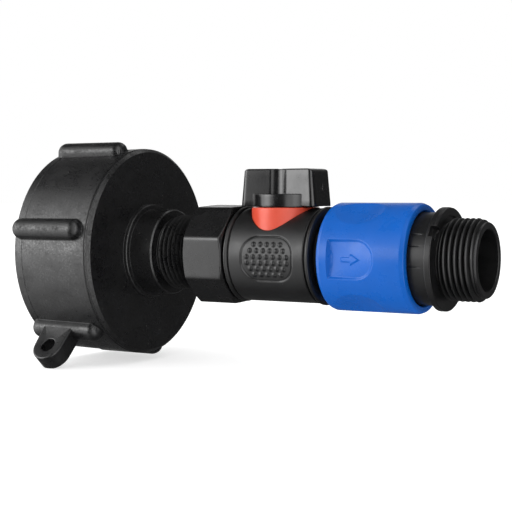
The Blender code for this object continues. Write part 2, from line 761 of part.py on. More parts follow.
def sleeve_spring():
    """Wire wound on a helix between the sleeve's inner lip and the end of the barrel."""
    bm = bmesh.new()
    start = SPRING_START_X + SPRING_WIRE_R
    end = BARREL_START_X - GAP - SPRING_WIRE_R
    steps = 63
    sides = 5
    lines = []
    for i in range(steps + 1):
        share = i / steps
        turn = 2.0 * math.pi * SPRING_COILS * share
        out = Vector((0.0, math.cos(turn), math.sin(turn)))
        centre = Vector((start + (end - start) * share, 0.0, 0.0)) + SPRING_MEAN_R * out
        line = []
        for k in range(sides):
            tilt = 2.0 * math.pi * k / sides
            offset = out * math.cos(tilt) + Vector((1.0, 0.0, 0.0)) * math.sin(tilt)
            line.append(bm.verts.new(centre + SPRING_WIRE_R * offset))
        lines.append(line)
    for a, b in zip(lines, lines[1:]):
        for k in range(sides):
            n = (k + 1) % sides
            bm.faces.new((a[k], a[n], b[n], b[k]))
    bm.faces.new(lines[0])
    bm.faces.new(lines[-1])
    spring = finish(bm, "sleeve_spring", STEEL_SPRING)
    return set_origin(spring, BARREL_START_X, 0.0, 0.0)


def sleeve_stop_ring():
    start = STOP_GROOVE_X + GAP
    end = STOP_GROOVE_X + STOP_GROOVE_L - GAP
    bore = STOP_GROOVE_R + GAP
    profile = [(start, bore), (start, STOP_RING_R), (end, STOP_RING_R), (end, bore)]
    ring = spin("sleeve_stop_ring", profile, STEEL_RING)
    split = prism("split", box_outline(0.0, 15.0, 1.2, 3.0), start - 5.0, end + 5.0, "X")
    boolean(ring, split, "DIFFERENCE")
    return set_origin(ring, COUPLER_START_X, 0.0, 0.0)


PLASTIC_CAP = material("cap_black_pp", BLACK, 0.42)
PLASTIC_NUT = material("nut_black_pp", BLACK, 0.38)
PLASTIC_TAIL = material("tail_black_pom", (0.03, 0.03, 0.032), 0.35)
PLASTIC_BODY = material("body_black_abs", BLACK, 0.4)
PLASTIC_BALL = material("ball_pom", (0.75, 0.75, 0.72), 0.2)
PLASTIC_NIPPLE = material("nipple_black_abs", BLACK, 0.35)
PLASTIC_COUPLER = material("coupler_black_abs", BLACK, 0.4)
SEAT_PLASTIC = material("seat_ptfe", (0.85, 0.85, 0.83), 0.45)
STEM_PLASTIC = material("stem_pom", (0.05, 0.05, 0.05), 0.3)
HANDLE_PLASTIC = material("handle_black_abs", BLACK, 0.33)
RED_PLASTIC = material("ring_red_pp", (0.75, 0.03, 0.01), 0.4)
BLUE_PLASTIC = material("sleeve_blue_abs", (0.0, 0.22, 0.75), 0.38)
CLAW_PLASTIC = material("claw_grey_pom", (0.25, 0.26, 0.27), 0.35)
RUBBER_GASKET = material("gasket_epdm", RUBBER, 0.75)
RUBBER_WASHER = material("washer_nbr", RUBBER, 0.7)
RUBBER_SEAL = material("seal_nbr", RUBBER, 0.6)
STEEL = material("screw_stainless", (0.6, 0.6, 0.6), 0.3, 1.0)
STEEL_SPRING = material("spring_stainless", (0.6, 0.6, 0.6), 0.3, 1.0)
STEEL_RING = material("ring_stainless", (0.6, 0.6, 0.6), 0.3, 1.0)

tank_cap()
tank_gasket()
swivel_nut()
nut_washer()
inlet_tail()
valve_body()
valve_ball()
seat_ring("seat_inlet", -1)
seat_ring("seat_outlet", 1)
valve_stem()
seal_ring("stem_seal_lower", SEAL_LEVELS[0], SEAL_MEAN_R, SEAL_WIRE_R, True, 16, 5)
seal_ring("stem_seal_upper", SEAL_LEVELS[1], SEAL_MEAN_R, SEAL_WIRE_R, True, 16, 5)
stem_ring()
valve_handle()
handle_screw()
outlet_nipple()
seal_ring("nipple_seal", NIPPLE_SEAL_X, 8.83, 0.75, False, SEG, 6)
coupler_body()
locking_claws()
lock_sleeve()
sleeve_spring()
sleeve_stop_ring()
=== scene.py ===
"""Looks of the tank outlet adapter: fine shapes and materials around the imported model.

Lengths in this file are millimetres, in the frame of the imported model; solid() turns them into metres.
+X runs along the pipe from the tank to the hose side, +Z points at the valve handle.
An angle round the pipe is 0 at +Y and 90 at +Z, so the side that faces the camera is at 180.
"""
import json
import math

import bmesh
import bpy
import numpy as np
from mathutils import Matrix, Vector


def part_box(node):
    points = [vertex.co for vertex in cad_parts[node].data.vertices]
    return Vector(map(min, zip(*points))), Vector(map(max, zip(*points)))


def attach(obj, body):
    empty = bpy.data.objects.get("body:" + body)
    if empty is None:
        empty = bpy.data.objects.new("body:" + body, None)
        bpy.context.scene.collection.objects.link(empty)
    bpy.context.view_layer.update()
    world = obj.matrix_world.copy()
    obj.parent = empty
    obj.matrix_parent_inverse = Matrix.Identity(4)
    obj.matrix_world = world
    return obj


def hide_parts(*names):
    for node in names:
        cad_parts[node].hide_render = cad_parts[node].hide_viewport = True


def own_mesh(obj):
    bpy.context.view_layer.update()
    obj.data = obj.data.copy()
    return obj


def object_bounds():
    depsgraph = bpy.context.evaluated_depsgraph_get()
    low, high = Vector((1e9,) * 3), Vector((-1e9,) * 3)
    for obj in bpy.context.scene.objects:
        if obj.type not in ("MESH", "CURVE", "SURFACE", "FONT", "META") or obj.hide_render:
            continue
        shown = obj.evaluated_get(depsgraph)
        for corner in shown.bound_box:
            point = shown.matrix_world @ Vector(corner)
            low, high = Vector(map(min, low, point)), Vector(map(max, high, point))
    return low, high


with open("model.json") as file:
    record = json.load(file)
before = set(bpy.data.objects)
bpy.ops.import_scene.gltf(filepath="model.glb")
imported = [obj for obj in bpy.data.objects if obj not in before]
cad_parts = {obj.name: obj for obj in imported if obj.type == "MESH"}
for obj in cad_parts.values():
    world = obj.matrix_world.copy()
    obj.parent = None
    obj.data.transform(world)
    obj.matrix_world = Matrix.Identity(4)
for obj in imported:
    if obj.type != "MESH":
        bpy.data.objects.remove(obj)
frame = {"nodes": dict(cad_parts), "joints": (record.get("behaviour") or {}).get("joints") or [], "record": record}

MM = 0.001
TAU = 2.0 * math.pi
GAP = 0.3  # the room between neighbouring pieces
SHARP_ANGLE = 32.0
END_RIM = 0.12
CAD_LOW, CAD_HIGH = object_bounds()
JOINTS = {joint["name"]: joint for joint in frame["joints"]}


def corners(node):
    """Lowest and highest corner of a CAD node, in millimetres."""
    low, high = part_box(node)
    return low / MM, high / MM


# Stations read from the frame.
CAP_LOW, CAP_HIGH = corners("tank_cap")
NUT_LOW, NUT_HIGH = corners("swivel_nut")
BODY_LOW, BODY_HIGH = corners("valve_body")
RING_TOP = corners("stem_ring")[1].z
HANDLE_LOW, HANDLE_HIGH = corners("valve_handle")
SCREW_LOW, SCREW_HIGH = corners("handle_screw")
TAIL_LOW, TAIL_HIGH = corners("inlet_tail")
GASKET_LOW, GASKET_HIGH = corners("tank_gasket")
NIPPLE_LOW, NIPPLE_HIGH = corners("outlet_nipple")
SLEEVE_LOW, SLEEVE_HIGH = corners("lock_sleeve")
SPRING_LOW, SPRING_HIGH = corners("sleeve_spring")
COUPLER_LOW, COUPLER_HIGH = corners("coupler_body")
BALL_X = JOINTS["handle_turn"]["pos_m"][0] / MM

# Tank cap.
CAP_FACE_X = CAP_LOW.x + 32.9
CAP_WALL_X = GASKET_HIGH.x + GAP
CAP_R_RIM = 36.5
CAP_R_FRONT = 37.1
CAP_THREAD_PITCH = 6.0
CAP_THREAD_MINOR = 27.7
CAP_THREAD_MAJOR = 30.4
RIB_R = 3.5
RIB_LIFT = 0.8
RIB_FILLET = 0.45
RIB_START_X = CAP_LOW.x + 0.1
RIB_END_X = CAP_LOW.x + 29.5
RIB_ANGLE = 166.5
RIB_COUNT = 6
EYE_ANGLE = 226.5
EYE_X = CAP_LOW.x + 13.1
EYE_REACH = 46.8
EYE_HALF_WIDTH = 6.0
EYE_HALF_THICK = 3.25
EYE_HOLE_R = 2.6
EYE_FOOT_R = 33.5
COLLAR_R = 17.06
COLLAR_X = CAP_FACE_X + 1.4
NECK_R = 15.18
NECK_END_X = CAP_LOW.x + 43.4
STUB_BORE = 9.5

# The two G3/4 threads.
G34_PITCH = 1.814
G34_MAJOR = 13.22
G34_MINOR = 11.95
G34_PLAY = 0.4
ROOT_R = 11.65

# Swivel nut.
NUT_FLAT = 16.65
NUT_TURN = 183.2
NUT_SIDES = 8
NUT_RIDGE_R = G34_MINOR + G34_PLAY
NUT_GROOVE_R = G34_MAJOR + G34_PLAY
NUT_BLEND = 0.2
NUT_SHARPNESS = 70.0

# Valve.
BALL_R = 11.2
BALL_BORE = 8.0
BODY_R = 16.0
CHAMBER_R = 13.0
TAIL_R = 10.4
TAIL_FLANGE_R = 12.0
PAD_X = BALL_X + 1.0
PAD_HALF_L = 9.7
PAD_LOW = -8.8
PAD_HIGH = 7.2
PAD_CORNER = 6.5
PAD_DEPTH = 0.35
BUMP_X = BALL_X + 0.8
BUMP_ROWS = ((15.0, 5), (7.5, 6), (0.0, 7), (-7.7, 7), (-15.0, 6), (-22.7, 5))
BUMP_PITCH = 2.5
BUMP_R = 0.85
BUMP_RISE = 0.42
STEM_R = 3.6
BOSS_R = 6.3
BOSS_TOP = 19.4
RING_RX = 11.05
RING_RY = 13.2
RING_SEAT_R = 14.6
RING_FOOT = 4.0
RING_PLAY = 0.25
SEAT_SPAN = (70.0, 110.0)
HANDLE_HALF_L = 14.25
HANDLE_HALF_T = 6.8
HANDLE_WAIST = 5.7
HANDLE_DRAFT = 0.35
HANDLE_TAPER = 0.06
HANDLE_CORNER = 2.6
HANDLE_END_ROUND = 1.7
HUB_R = 11.2
HUB_DROP = 0.25
HUB_TOP = HANDLE_LOW.z + 4.15
FLUTE_R = 4.8
FLUTE_OUT = 3.75

# Quick coupling.
SLEEVE_R = 17.9
SLEEVE_BORE = 15.2
RECESS_COUNT = 6
RECESS_START_X = SLEEVE_LOW.x + 4.0
RECESS_HALF = 6.55
RECESS_END_X = SLEEVE_LOW.x + 20.3
RECESS_BEND_X = RECESS_END_X - RECESS_HALF
RECESS_DEPTH = 2.2
RECESS_RIM = 0.42
RECESS_WALL_SLOPE = 1.6
DISH_MIDDLE_X = SLEEVE_LOW.x + 12.0
DISH_HALF_L = 8.4
DISH_DEPTH = 1.25
ARROW_TAIL_X = SLEEVE_LOW.x + 8.7
ARROW_NECK_X = SLEEVE_LOW.x + 12.0
ARROW_TIP_X = SLEEVE_LOW.x + 15.3
ARROW_HALF = 1.95
BARREL_R = 14.9
BARREL_LINES = (146.4, 162.0, 187.3)
BARREL_START_X = COUPLER_LOW.x + 8.7
FLANGE_START_X = COUPLER_LOW.x + 27.3
FLANGE_END_X = COUPLER_LOW.x + 29.4
FLANGE_R = 16.6
LUG_R_OUT = 16.45
LUG_R_IN = 13.9
LUG_START = 38.0
LUG_END = 142.0
NOTCH_TURN = -35.0
OUTLET_BORE = 9.86


# ---------------------------------------------------------------- shapes

def smoothstep(value, low, high):
    share = np.clip((value - low) / (high - low), 0.0, 1.0)
    return share * share * (3.0 - 2.0 * share)


def spaced(start, end, coarse, bands=()):
    """Stations from start to end, coarse apart, and closer together inside each (low, high, step) band."""
    marks = [start]
    while marks[-1] < end - 1e-6:
        here = marks[-1]
        step = coarse
        for low, high, fine in bands:
            if here < low - 1e-6:
                step = min(step, low - here)
            elif here < high - 1e-6:
                step = min(step, fine)
        marks.append(min(here + step, end))
    return np.array(marks)


def sectors(centre, count, radius, coarse, bands=()):
    """Angles once round the pipe, in radians: count equal sectors whose bands are given as arc lengths."""
    half = TAU / count / 2.0
    one = spaced(-half * radius, half * radius, coarse, bands)[:-1] / radius
    first = math.radians(centre)
    turns = np.concatenate([first + i * TAU / count + one for i in range(count)])
    return np.append(turns, turns[0] + TAU)


def even(count):
    return np.linspace(0.0, TAU, count + 1)


def arc_offset(turns, centre, count=1):
    """Angle in radians from the nearest of count evenly spread centres, the first one given in degrees."""
    share = TAU / count
    return (turns - math.radians(centre) + share / 2.0) % share - share / 2.0


def path(*points, at=None):
    """A fine line through (x, r) corners; a third number rounds a corner with that radius.

    at adds stations along x, where x only grows.
    """
    line = [np.array(points[0][:2], float)]
    for before, point, after in zip(points, points[1:], points[2:]):
        here = np.array(point[:2], float)
        if len(point) < 3:
            line.append(here)
            continue
        back = np.array(before[:2], float) - here
        ahead = np.array(after[:2], float) - here
        back_length = np.linalg.norm(back)
        ahead_length = np.linalg.norm(ahead)
        back /= back_length
        ahead /= ahead_length
        half = math.acos(max(-1.0, min(1.0, float(back @ ahead)))) / 2.0
        reach = min(point[2] / math.tan(half), 0.45 * back_length, 0.45 * ahead_length)
        radius = reach * math.tan(half)
        middle = back + ahead
        centre = here + middle / np.linalg.norm(middle) * radius / math.sin(half)
        start = here + back * reach - centre
        end = here + ahead * reach - centre
        sweep = math.pi - 2.0 * half
        cuts = max(2, math.ceil(sweep / math.radians(18.0)))
        support = min(0.1, 0.2 * reach)
        line.append(here + back * (reach + support))
        for i in range(cuts + 1):
            share = i / cuts
            mix = start * math.sin((1.0 - share) * sweep) + end * math.sin(share * sweep)
            line.append(centre + mix / math.sin(sweep))
        line.append(here + ahead * (reach + support))
    line.append(np.array(points[-1][:2], float))
    line = np.array(line)
    if at is None:
        return line[:, 0], line[:, 1]
    inside = at[(at > line[0, 0]) & (at < line[-1, 0])]
    xs = np.unique(np.round(np.concatenate([line[:, 0], inside]), 4))
    return xs, np.interp(xs, line[:, 0], line[:, 1])


def shade(obj):
    obj.data.shade_smooth()
    obj.data.set_sharp_from_angle(angle=math.radians(SHARP_ANGLE))
    return obj


def linked(name, data):
    """A new object in the scene."""
    obj = bpy.data.objects.new(name, data)
    bpy.context.scene.collection.objects.link(obj)
    return obj


def weld(bm, reach):
    """Join points closer than reach, in metres, and drop the slivers that leaves."""
    bmesh.ops.remove_doubles(bm, verts=bm.verts, dist=reach)
    bmesh.ops.dissolve_degenerate(bm, edges=bm.edges, dist=5e-7)


def solid(name, verts, faces):
    """One closed mesh from points in millimetres, welded, with its faces turned outwards."""
    mesh = bpy.data.meshes.new(name)
    mesh.from_pydata((np.asarray(verts) * MM).tolist(), [], faces)
    bm = bmesh.new()
    bm.from_mesh(mesh)
    weld(bm, 2e-6)
    bmesh.ops.recalc_face_normals(bm, faces=bm.faces)
    bm.to_mesh(mesh)
    bm.free()
    return shade(linked(name, mesh))


def grid_faces(rows, cols):
    """Faces of a grid whose last row joins its first."""
    faces = []
    for i in range(rows):
        here = i * cols
        there = (i + 1) % rows * cols
        for k in range(cols - 1):
            faces.append((here + k, here + k + 1, there + k + 1, there + k))
    return faces


def tube_faces(rings, count, closed=False):
    """Faces between rings of count points; a closed tube joins its own start, an open one gets flat ends."""
    faces = []
    for i in range(rings if closed else rings - 1):
        here = i * count
        there = (i + 1) % rings * count
        for k in range(count):
            n = (k + 1) % count
            faces.append((here + k, here + n, there + n, there + k))
    if not closed:
        faces.append(tuple(range(count)))
        faces.append(tuple(range((rings - 1) * count, rings * count)))
    return faces


def spin(name, parts, turns, relief=None):
    """Turn a closed section about the X axis.

    Each part is a pair of arrays (x, r), one value a row or a whole grid. relief maps the number of a part
    to a function of (x, turn, r) that returns the changed x and r.
    """
    grids = []
    for number, (x, r) in enumerate(parts):
        if x.ndim == 1:
            x = np.repeat(x[:, None], len(turns), 1)
            r = np.repeat(r[:, None], len(turns), 1)
        if relief and number in relief:
            x, r = relief[number](x, turns[None, :], r)
        grids.append((x, r))
    x = np.vstack([grid[0] for grid in grids])
    r = np.vstack([grid[1] for grid in grids])
    verts = np.stack([x, r * np.cos(turns), r * np.sin(turns)], -1).reshape(-1, 3)
    return solid(name, verts, grid_faces(len(x), len(turns)))


def thread(start, end, base, peak, pitch, shape, turns, inside=False):
    """Rows of a right-hand helix; shape maps a phase from 0 to 1 to a height from 0 at base to 1 at peak.

    An outside thread runs out into its root at both ends, and an inside thread into its groove.
    """
    run_out = peak if inside else base
    first = math.floor(start / pitch) - 2
    last = math.ceil(end / pitch) + 1
    xs = []
    rs = []
    for turn in range(first, last + 1):
        for phase, height in shape:
            x = pitch * (turn + phase + turns / TAU)
            fade = np.clip(np.minimum((x - start), (end - x)) / (0.6 * pitch), 0.0, 1.0)
            full = base + (peak - base) * height
            xs.append(np.clip(x, start, end))
            rs.append(run_out + (full - run_out) * fade)
    if inside:
        xs.reverse()
        rs.reverse()
    return np.array(xs), np.array(rs)


def v_shape(steps, crest=0.62):
    """A V thread with a round crest; a lower crest exponent makes the crest broader."""
    return [(i / steps, (0.5 - 0.5 * math.cos(TAU * i / steps)) ** crest) for i in range(steps)]


BUTTRESS_SHAPE = (
    (0.0, 0.0), (0.23, 0.0), (0.27, 0.08), (0.33, 0.92), (0.37, 1.0), (0.59, 1.0), (0.64, 0.93), (0.96, 0.05),
)


def arc(cx, cy, rx, ry, start, end, count):
    """Points on an ellipse between two angles in degrees, ends included."""
    angles = np.radians(np.linspace(start, end, count))
    return np.stack([cx + rx * np.cos(angles), cy + ry * np.sin(angles)], -1)


def ring_line(cx, cy, rx, ry, count=96):
    return arc(cx, cy, rx, ry, 0.0, 360.0, count + 1)[:-1]


def box_line(cx, cy, half_x, half_y, radius, count=8):
    """A rectangle with round corners."""
    sides = ((1, 1, 0.0), (-1, 1, 90.0), (-1, -1, 180.0), (1, -1, 270.0))
    arcs = []
    for sx, sy, turn in sides:
        at_x, at_y = cx + sx * (half_x - radius), cy + sy * (half_y - radius)
        arcs.append(arc(at_x, at_y, radius, radius, turn, turn + 90.0, count))
    return np.concatenate(arcs)


def soften(outline, step, blur):
    """The same closed outline with even points and every corner rounded over about blur."""
    closed = np.vstack([outline, outline[:1]])
    runs = np.concatenate([[0.0], np.cumsum(np.linalg.norm(np.diff(closed, axis=0), axis=1))])
    count = int(runs[-1] / step)
    marks = np.linspace(0.0, runs[-1], count, endpoint=False)
    points = np.stack([np.interp(marks, runs, closed[:, k]) for k in (0, 1)], -1)
    reach = int(3 * blur / step) + 1
    offsets = np.arange(-reach, reach + 1)
    weights = np.exp(-0.5 * (offsets * step / blur) ** 2)
    weights /= weights.sum()
    return sum(w * np.roll(points, -o, axis=0) for w, o in zip(weights, offsets))


def inset(outline, amount):
    """Move each point of a counter-clockwise outline inwards."""
    along = np.roll(outline, -1, axis=0) - np.roll(outline, 1, axis=0)
    along /= np.maximum(np.linalg.norm(along, axis=1, keepdims=True), 1e-9)
    return outline + np.stack([-along[:, 1], along[:, 0]], -1) * amount


def place(points, level, axis):
    """Points of a flat outline as points in space, at a level along an axis."""
    a, b = points[:, 0], points[:, 1]
    c = np.full(len(points), float(level))
    return np.stack({"X": (c, a, b), "Y": (a, c, b), "Z": (a, b, c)}[axis], -1)


def loft(name, outline, levels, axis):
    """Stack a closed outline at (level, inset) pairs along an axis and close both ends with flat faces.

    Each flat end gets a narrow rim first, END_RIM wide, which keeps the shading of the edge clean.
    """
    rings = []
    for level, amount in levels:
        rings.append(place(inset(outline, amount), level, axis))
    for end, at in ((0, 0), (-1, len(rings) + 1)):
        level, amount = levels[end]
        rings.insert(at, place(inset(outline, amount + END_RIM), level, axis))
    return solid(name, np.concatenate(rings), tube_faces(len(rings), len(outline)))


def round_levels(low, high, low_round, high_round, draft=0.0):
    """(level, inset) pairs of a wall with round lower and upper edges; draft is the inset gained upwards."""
    tilts = [0.5 * math.pi * i / 5 for i in range(6)]
    levels = []
    for tilt in tilts:
        levels.append((low + low_round * (1.0 - math.cos(tilt)), low_round * (1.0 - math.sin(tilt))))
    for i in range(1, 6):
        share = i / 6.0
        levels.append((low + low_round + (high - high_round - low - low_round) * share, draft * share))
    for tilt in tilts:
        level = high - high_round * (1.0 - math.sin(tilt))
        levels.append((level, draft + high_round * (1.0 - math.cos(tilt))))
    return levels


def cutter(outline, low, high, axis="Z"):
    """A straight prism for cutting."""
    verts = np.concatenate([place(outline, low, axis), place(outline, high, axis)])
    return solid("cutter", verts, tube_faces(2, len(outline)))


def turned(obj, degrees):
    obj.data.transform(Matrix.Rotation(math.radians(degrees), 4, "X"))
    return obj


def boolean(obj, tool, operation):
    """Apply one boolean of two closed meshes to obj and remove the tool."""
    mod = obj.modifiers.new("Cut", "BOOLEAN")
    mod.operation = operation
    mod.solver = "MANIFOLD"
    mod.object = tool
    bpy.context.view_layer.update()
    graph = bpy.context.evaluated_depsgraph_get()
    mesh = bpy.data.meshes.new_from_object(obj.evaluated_get(graph))
    obj.modifiers.clear()
    obj.data = mesh
    bpy.data.objects.remove(tool, do_unlink=True)
    bm = bmesh.new()
    bm.from_mesh(mesh)
    weld(bm, 1e-6)
    bm.to_mesh(mesh)
    bm.free()
    return shade(obj)


def drum(radius, low, high):
    """A plain cylinder about the X axis, for cutting."""
    return cutter(ring_line(0.0, 0.0, radius, radius, 160), low, high, "X")


def post(radius, count=96):
    """The outline of a round post on the valve stem's axis."""
    return ring_line(BALL_X, 0.0, radius, radius, count)


# ---------------------------------------------------------------- materials

def node(tree, kind, inputs=(), **settings):
    """A new node; each input gets a value, or a link from the output that is given for it."""
    made = tree.nodes.new(kind)
    for key, value in settings.items():
        setattr(made, key, value)
    for key, value in dict(inputs).items():
        if isinstance(value, bpy.types.NodeSocket):
            tree.links.new(value, made.inputs[key])
        else:
            made.inputs[key].default_value = value
    return made


def map_range(tree, source, low, high, to_low=0.0, to_high=1.0, curve="LINEAR"):
    inputs = {"Value": source, "From Min": low, "From Max": high, "To Min": to_low, "To Max": to_high}
    return node(tree, "ShaderNodeMapRange", inputs, interpolation_type=curve).outputs["Result"]


def mixed(tree, factor, first, second):
    """Mix two colours, each a tuple or a socket, by a socket."""
    inputs = {"Factor": factor}
    for key, value in (("A", first), ("B", second)):
        inputs[key] = (*value, 1.0) if isinstance(value, tuple) else value
    return node(tree, "ShaderNodeMix", inputs, data_type="RGBA").outputs["Result"]


def joined(tree, operation, first, second):
    return node(tree, "ShaderNodeMath", {0: first, 1: second}, operation=operation).outputs[0]


def noise(tree, coords, scale, detail=3.0, roughness=0.55, stretch=None):
    if stretch:
        coords = node(tree, "ShaderNodeMapping", {"Vector": coords, "Scale": stretch}).outputs["Vector"]
    inputs = {"Vector": coords, "Scale": scale, "Detail": detail, "Roughness": roughness}
    return node(tree, "ShaderNodeTexNoise", inputs).outputs["Fac"]


def new_material(name, inputs):
    """A material with its node tree and its shader, whose inputs are set."""
    material = bpy.data.materials.new(name)
    material.use_nodes = True
    shader = material.node_tree.nodes["Principled BSDF"]
    for key, value in inputs.items():
        shader.inputs[key].default_value = value
    return material, material.node_tree, shader


def finish_of(name, colour, rough, *, mottle=0.25, blotch=70.0, spread=0.07, grain=0.5, grain_size=0.35,
              waves=0.5, dust=0.0, wear=0.25, metallic=0.0, specular=0.5, coat=0.0, edge=0.0, brush=None,
              cloud=0.0, speckle=0.0):
    """A moulded or metal surface.

    colour varies by mottle over blotches, roughness by spread; grain and waves are bump, in hundredths of a
    millimetre; dust is the share of pale specks; wear lightens edges; edge rounds sharp edges over that many
    millimetres; brush stretches the grain; cloud is how much the roughness varies over the blotches, and
    speckle how much it varies from one fine dot to the next.
    """
    material, tree, shader = new_material(name, {
        "Metallic": metallic, "Specular IOR Level": specular, "Coat Weight": coat, "Coat Roughness": 0.12,
    })
    coords = node(tree, "ShaderNodeTexCoord").outputs["Object"]
    patches = noise(tree, coords, blotch, 5.0, 0.6)
    dark = tuple(c * (1.0 - mottle) for c in colour)
    light = tuple(min(1.0, c * (1.0 + mottle)) for c in colour)
    base = mixed(tree, map_range(tree, patches, 0.3, 0.7), dark, light)
    fine = noise(tree, coords, 1000.0 / grain_size, 2.0, 0.5, brush)
    if wear:
        bend = node(tree, "ShaderNodeNewGeometry").outputs["Pointiness"]
        rubbed = joined(tree, "MULTIPLY", map_range(tree, bend, 0.515, 0.62, 0.0, wear), patches)
        worn = tuple(min(1.0, c * 2.0 + 0.012) for c in colour)
        base = mixed(tree, rubbed, base, worn)
    if dust:
        cells = node(tree, "ShaderNodeTexVoronoi", {"Vector": coords, "Scale": 900.0})
        speck = map_range(tree, cells.outputs["Distance"], 0.06, 0.16, 1.0, 0.0)
        patchy = map_range(tree, noise(tree, coords, 260.0, 2.0), 0.62, 0.72, 0.0, dust)
        base = mixed(tree, joined(tree, "MULTIPLY", speck, patchy), base, (0.3, 0.3, 0.29))
    tree.links.new(base, shader.inputs["Base Color"])
    smears = noise(tree, coords, 190.0, 4.0, 0.6, brush)
    roughness = map_range(tree, smears, 0.3, 0.7, rough - spread, rough + spread)
    if cloud:
        clouded = map_range(tree, patches, 0.35, 0.65, 1.0 + cloud, 1.0 - cloud)
        dots = noise(tree, coords, 1500.0, 2.0, 0.6)
        speckled = map_range(tree, dots, 0.3, 0.7, 1.0 + speckle, 1.0 - speckle)
        roughness = joined(tree, "MULTIPLY", roughness, joined(tree, "MULTIPLY", clouded, speckled))
    tree.links.new(roughness, shader.inputs["Roughness"])
    swell = noise(tree, coords, 330.0, 2.0, 0.5)
    wave_bump = node(tree, "ShaderNodeBump", {"Height": swell, "Strength": 1.0, "Distance": waves * 1e-5})
    if edge:
        bevel = node(tree, "ShaderNodeBevel", {"Radius": edge * MM}, samples=6)
        tree.links.new(bevel.outputs["Normal"], wave_bump.inputs["Normal"])
    grain_bump = node(tree, "ShaderNodeBump", {
        "Height": fine, "Normal": wave_bump.outputs["Normal"], "Strength": 1.0, "Distance": grain * 1e-5,
    })
    tree.links.new(grain_bump.outputs["Normal"], shader.inputs["Normal"])
    return material


WHITE = (1.0, 1.0, 1.0, 1.0)
BLACK = (0.0038, 0.0038, 0.0041)
RUBBER = (0.02, 0.02, 0.02)
LOOKS = {
    "cap_plastic": dict(colour=BLACK, rough=0.4, mottle=0.6, blotch=110.0, grain=1.6, grain_size=0.5,
                        waves=1.5, dust=0.8, spread=0.08, cloud=0.2, speckle=0.4),
    "gasket_rubber": dict(colour=RUBBER, rough=0.72, grain=1.2, grain_size=0.2, specular=0.3),
    "nut_plastic": dict(colour=BLACK, rough=0.26, grain=0.1, waves=0.5, dust=0.1, wear=0.0, edge=0.25),
    "washer_rubber": dict(colour=RUBBER, rough=0.68, grain=1.0, grain_size=0.2, specular=0.3),
    "tail_plastic": dict(colour=(0.022, 0.022, 0.024), rough=0.33, grain=0.3),
    "body_plastic": dict(colour=BLACK, rough=0.38, grain=0.5, waves=0.5, dust=0.25, edge=0.2),
    "ball_plastic": dict(colour=(0.72, 0.71, 0.67), rough=0.18, mottle=0.05, grain=0.15, coat=0.3),
    "seat_plastic": dict(colour=(0.82, 0.81, 0.78), rough=0.42, mottle=0.05, grain=0.5),
    "stem_plastic": dict(colour=(0.04, 0.04, 0.042), rough=0.3, grain=0.3),
    "seal_rubber": dict(colour=(0.014, 0.014, 0.014), rough=0.35, grain=0.5, grain_size=0.2, coat=0.4),
    "red_plastic": dict(colour=(0.55, 0.055, 0.024), rough=0.4, mottle=0.08, grain=0.4, wear=0.1),
    "handle_plastic": dict(colour=BLACK, rough=0.22, grain=0.08, waves=0.4, dust=0.1, wear=0.1, edge=0.3),
    "steel": dict(colour=(0.58, 0.58, 0.57), rough=0.28, mottle=0.1, metallic=1.0, grain=0.4,
                  brush=(1, 1, 12)),
    "nipple_plastic": dict(colour=BLACK, rough=0.34, grain=0.3),
    "coupler_plastic": dict(colour=BLACK, rough=0.38, grain=0.5, waves=0.6, dust=0.3, edge=0.2),
    "claw_plastic": dict(colour=(0.2, 0.21, 0.22), rough=0.36, grain=0.4),
    "blue_plastic": dict(colour=(0.0, 0.084, 0.39), rough=0.3, mottle=0.07, grain=0.45, wear=0.15,
                         specular=0.28),
}
FINISHES = {name: finish_of(name, **look) for name, look in LOOKS.items()}


def settle(piece, body, slot, *nodes):
    """Give a piece its finish, its body and the CAD nodes it stands for."""
    piece.data.materials.clear()
    piece.data.materials.append(FINISHES[slot])
    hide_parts(*nodes)
    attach(piece, body)
    return piece


# ---------------------------------------------------------------- pieces

def cap_wall(x, turn, r):
    """Six grip ribs with domed ends that flow into the wall."""
    across = CAP_R_RIM * np.sin(arc_offset(turn, RIB_ANGLE, RIB_COUNT))
    beyond = np.maximum(np.maximum(RIB_START_X + RIB_R - x, x - RIB_END_X + RIB_R), 0.0)
    distance = np.hypot(across, beyond)
    foot = math.sqrt((RIB_R + RIB_FILLET) ** 2 - (RIB_FILLET - RIB_LIFT) ** 2)
    edge = RIB_R * foot / (RIB_R + RIB_FILLET)
    dome = RIB_LIFT + np.sqrt(np.clip(RIB_R ** 2 - distance ** 2, 0.0, None))
    fillet = RIB_FILLET - np.sqrt(np.clip(RIB_FILLET ** 2 - (foot - distance) ** 2, 0.0, None))
    rise = np.where(distance < edge, dome, np.where(distance < foot, fillet, 0.0))
    return x, r + rise * (CAP_R_RIM + RIB_R + RIB_LIFT - r) / (RIB_R + RIB_LIFT)


def cap_face(x, turn, r):
    """A faint radial mould line on the front face."""
    across = r * arc_offset(turn, 207.0)
    line = np.exp(-(across / 0.22) ** 2) * smoothstep(r, 19.0, 22.0) * (1.0 - smoothstep(r, 33.0, 34.8))
    return x + 0.05 * line, r


